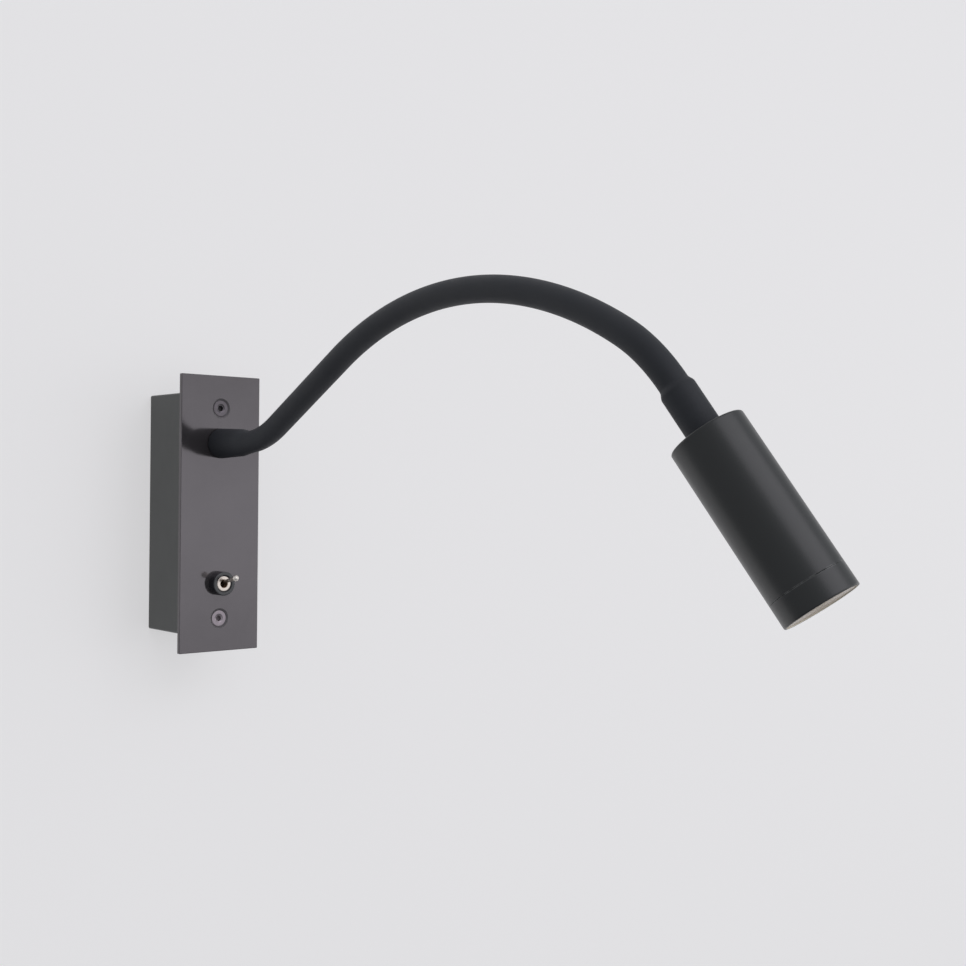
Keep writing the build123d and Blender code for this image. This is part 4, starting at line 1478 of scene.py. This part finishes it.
@dataclass
class Studio:
    """The wall behind the lamp, a floor, the soft lamps and the camera. Lengths are metres."""

    wall_gap: float = 0.0006
    wall_left: float = -0.4
    reach: float = 6.0
    floor_height: float = -0.62
    wall_colour: Triple = (0.88, 0.87, 0.88)
    wall_glow: Triple = (1.0, 0.99, 1.0)
    glow_share: float = 0.52
    room_colour: Triple = (0.765, 0.76, 0.775)
    room_light: Triple = (0.95, 0.98, 1.02)
    room_strength: float = 0.52
    dark_side: Triple = (-0.95, -0.05, -0.1)
    dark_strength: float = 0.36
    low_share: float = 0.3
    window_side: Triple = (0.48, -0.88, -0.02)
    window_height: float = -0.05
    window_reach: float = 0.06
    window_glow: float = 0.68
    eye: Triple = (-0.3851, -0.7242, 0.016)
    yaw: float = 40.865
    pitch: float = 0.225
    roll: float = 0.51
    focal_pixels: float = 1315.8
    image_pixels: float = 966.0
    sensor: float = 36.0
    nearest: float = 0.01

    lamps: tuple[SoftBox, ...] = (
        SoftBox("front_soft_box", (1.0, -1.72, 0.1), (0.0, -0.05, 0.0), 1.6, 1.2, 0.4),
        SoftBox("high_soft_box", (0.22, -1.54, 1.0), (0.03, -0.44, 0.0), 1.7, 0.8, 1.05,
                (1.0, 0.975, 1.04)),
        SoftBox("side_soft_box", (1.65, -0.6, 0.05), (0.0, -0.1, 0.0), 1.0, 0.5, 0.7),
    )

    def build(self) -> None:
        """Sets up the whole studio."""
        bpy.context.scene.view_settings.view_transform = "Standard"
        x, far = (self.reach + self.wall_left) / 2, self.reach
        self.stage_sheet("studio_wall", Vector((x, self.wall_gap, 0)), Vector((0, 0, far)), True)
        self.stage_sheet("studio_floor", Vector((x, 0, self.floor_height)), Vector((0, far, 0)), False)
        for lamp in self.lamps:
            lamp.light()
        self.set_room()
        self.set_camera()

    def stage_sheet(self, name: str, middle: Vector, up: Vector, mirrored: bool) -> None:
        """Adds one flat sheet of the stage, which hides nothing from behind.

        Args:
            name: Its name.
            middle: Its centre.
            up: From its centre to its far edge. Its front faces +X crossed with this.
            mirrored: Whether it also shows in reflections.
        """
        side = Vector((self.reach - middle.x, 0, 0))
        mesh = bmesh.new()
        corners = ((-1, -1), (1, -1), (1, 1), (-1, 1))
        mesh.faces.new([mesh.verts.new(middle + side * x + up * y) for x, y in corners])
        data = bpy.data.meshes.new(name)
        mesh.to_mesh(data)
        mesh.free()
        data.materials.append(self.sheet_material(f"{name}_paint", mirrored))
        put_in_scene(name, data)

    def sheet_material(self, name: str, mirrored: bool) -> bpy.types.Material:
        """Paints the stage: pale from the front and clear from behind and for bounced light.

        Args:
            name: The material's name.
            mirrored: Whether it also shows in reflections.

        Returns:
            The material.
        """
        material = bpy.data.materials.new(name)
        desk = NodeDesk.cleared(material)
        path = desk.add("ShaderNodeLightPath").outputs
        seen = path["Is Camera Ray"]
        for ray in ("Is Glossy Ray", "Is Transmission Ray") if mirrored else ():
            seen = desk.maths("MAXIMUM", seen, path[ray])
        front = desk.maths("SUBTRACT", 1.0, desk.add("ShaderNodeNewGeometry").outputs["Backfacing"])
        paint = desk.add("ShaderNodeBsdfDiffuse", {"Color": self.wall_colour})
        glow = desk.add("ShaderNodeEmission", {"Color": self.wall_glow})
        both = desk.mix(desk.maths("MULTIPLY", seen, front), desk.add("ShaderNodeBsdfTransparent"),
                        desk.mix(self.glow_share, paint, glow))
        desk.add("ShaderNodeOutputMaterial", {"Surface": both.outputs[0]})
        return material

    def set_room(self) -> None:
        """Fills the room with even light and gives it a pale colour where it is seen."""
        world = bpy.data.worlds.new("studio_room")
        desk = NodeDesk.cleared(world)
        way = desk.add("ShaderNodeTexCoord").outputs["Generated"]
        rise = desk.axis(way, "Z")
        around = desk.spread(self.facing(desk, way, self.dark_side), 0.3, 0.9, self.room_strength,
                             self.dark_strength)
        below = desk.spread(rise, -0.2, -0.8, 1.0, self.low_share)
        band = desk.maths("ABSOLUTE", desk.maths("SUBTRACT", rise, self.window_height))
        band = desk.spread(band, 0.0, self.window_reach, self.window_glow, 0.0)
        window = desk.spread(self.facing(desk, way, self.window_side), 0.85, 0.97, 0.0, 1.0)
        strength = desk.maths("MULTIPLY_ADD", band, window, desk.maths("MULTIPLY", around, below))
        even = desk.add("ShaderNodeBackground", {"Color": self.room_light, "Strength": strength})
        seen = desk.add("ShaderNodeBackground", {"Color": self.room_colour})
        choice = desk.mix(desk.add("ShaderNodeLightPath").outputs["Is Camera Ray"], even, seen)
        desk.add("ShaderNodeOutputWorld", {"Surface": choice.outputs[0]})
        bpy.context.scene.world = world

    def facing(self, desk: NodeDesk, way: Socket, side: Triple) -> Socket:
        """The cosine between the room's directions and one side."""
        fed = {0: way, 1: Vector(side).normalized()}
        return desk.add("ShaderNodeVectorMath", fed, operation="DOT_PRODUCT").outputs["Value"]

    def set_camera(self) -> None:
        """Stands the camera where the photograph was taken from."""
        yaw, pitch, roll = radians(self.yaw), radians(self.pitch), radians(self.roll)
        forward = Vector((sin(yaw) * cos(pitch), cos(yaw) * cos(pitch), sin(pitch)))
        level = Vector((cos(yaw), -sin(yaw), 0))
        upright = level.cross(forward)
        right = level * cos(roll) + upright * sin(roll)
        up = upright * cos(roll) - level * sin(roll)
        data = bpy.data.cameras.new("photograph_camera")
        data.sensor_width = self.sensor
        data.lens = self.sensor * self.focal_pixels / self.image_pixels
        data.clip_start = self.nearest
        camera = put_in_scene("photograph_camera", data)
        turned = Matrix((right, up, -forward)).transposed().to_4x4()
        camera.matrix_world = Matrix.Translation(Vector(self.eye)) @ turned
        bpy.context.scene.camera = camera


def main() -> None:
    """Builds the studio and every sub-assembly in order."""
    logging.basicConfig(level=logging.INFO, format="%(name)s: %(message)s")
    Studio().build()
    arm = FlexibleArm()
    parts = (WallBox(), FrontPlate(), ToggleSwitch(), SwitchLever(), arm, LampHead(arm), CarriedOver())
    for part in parts:
        part.build()


if __name__ == "__main__":
    main()
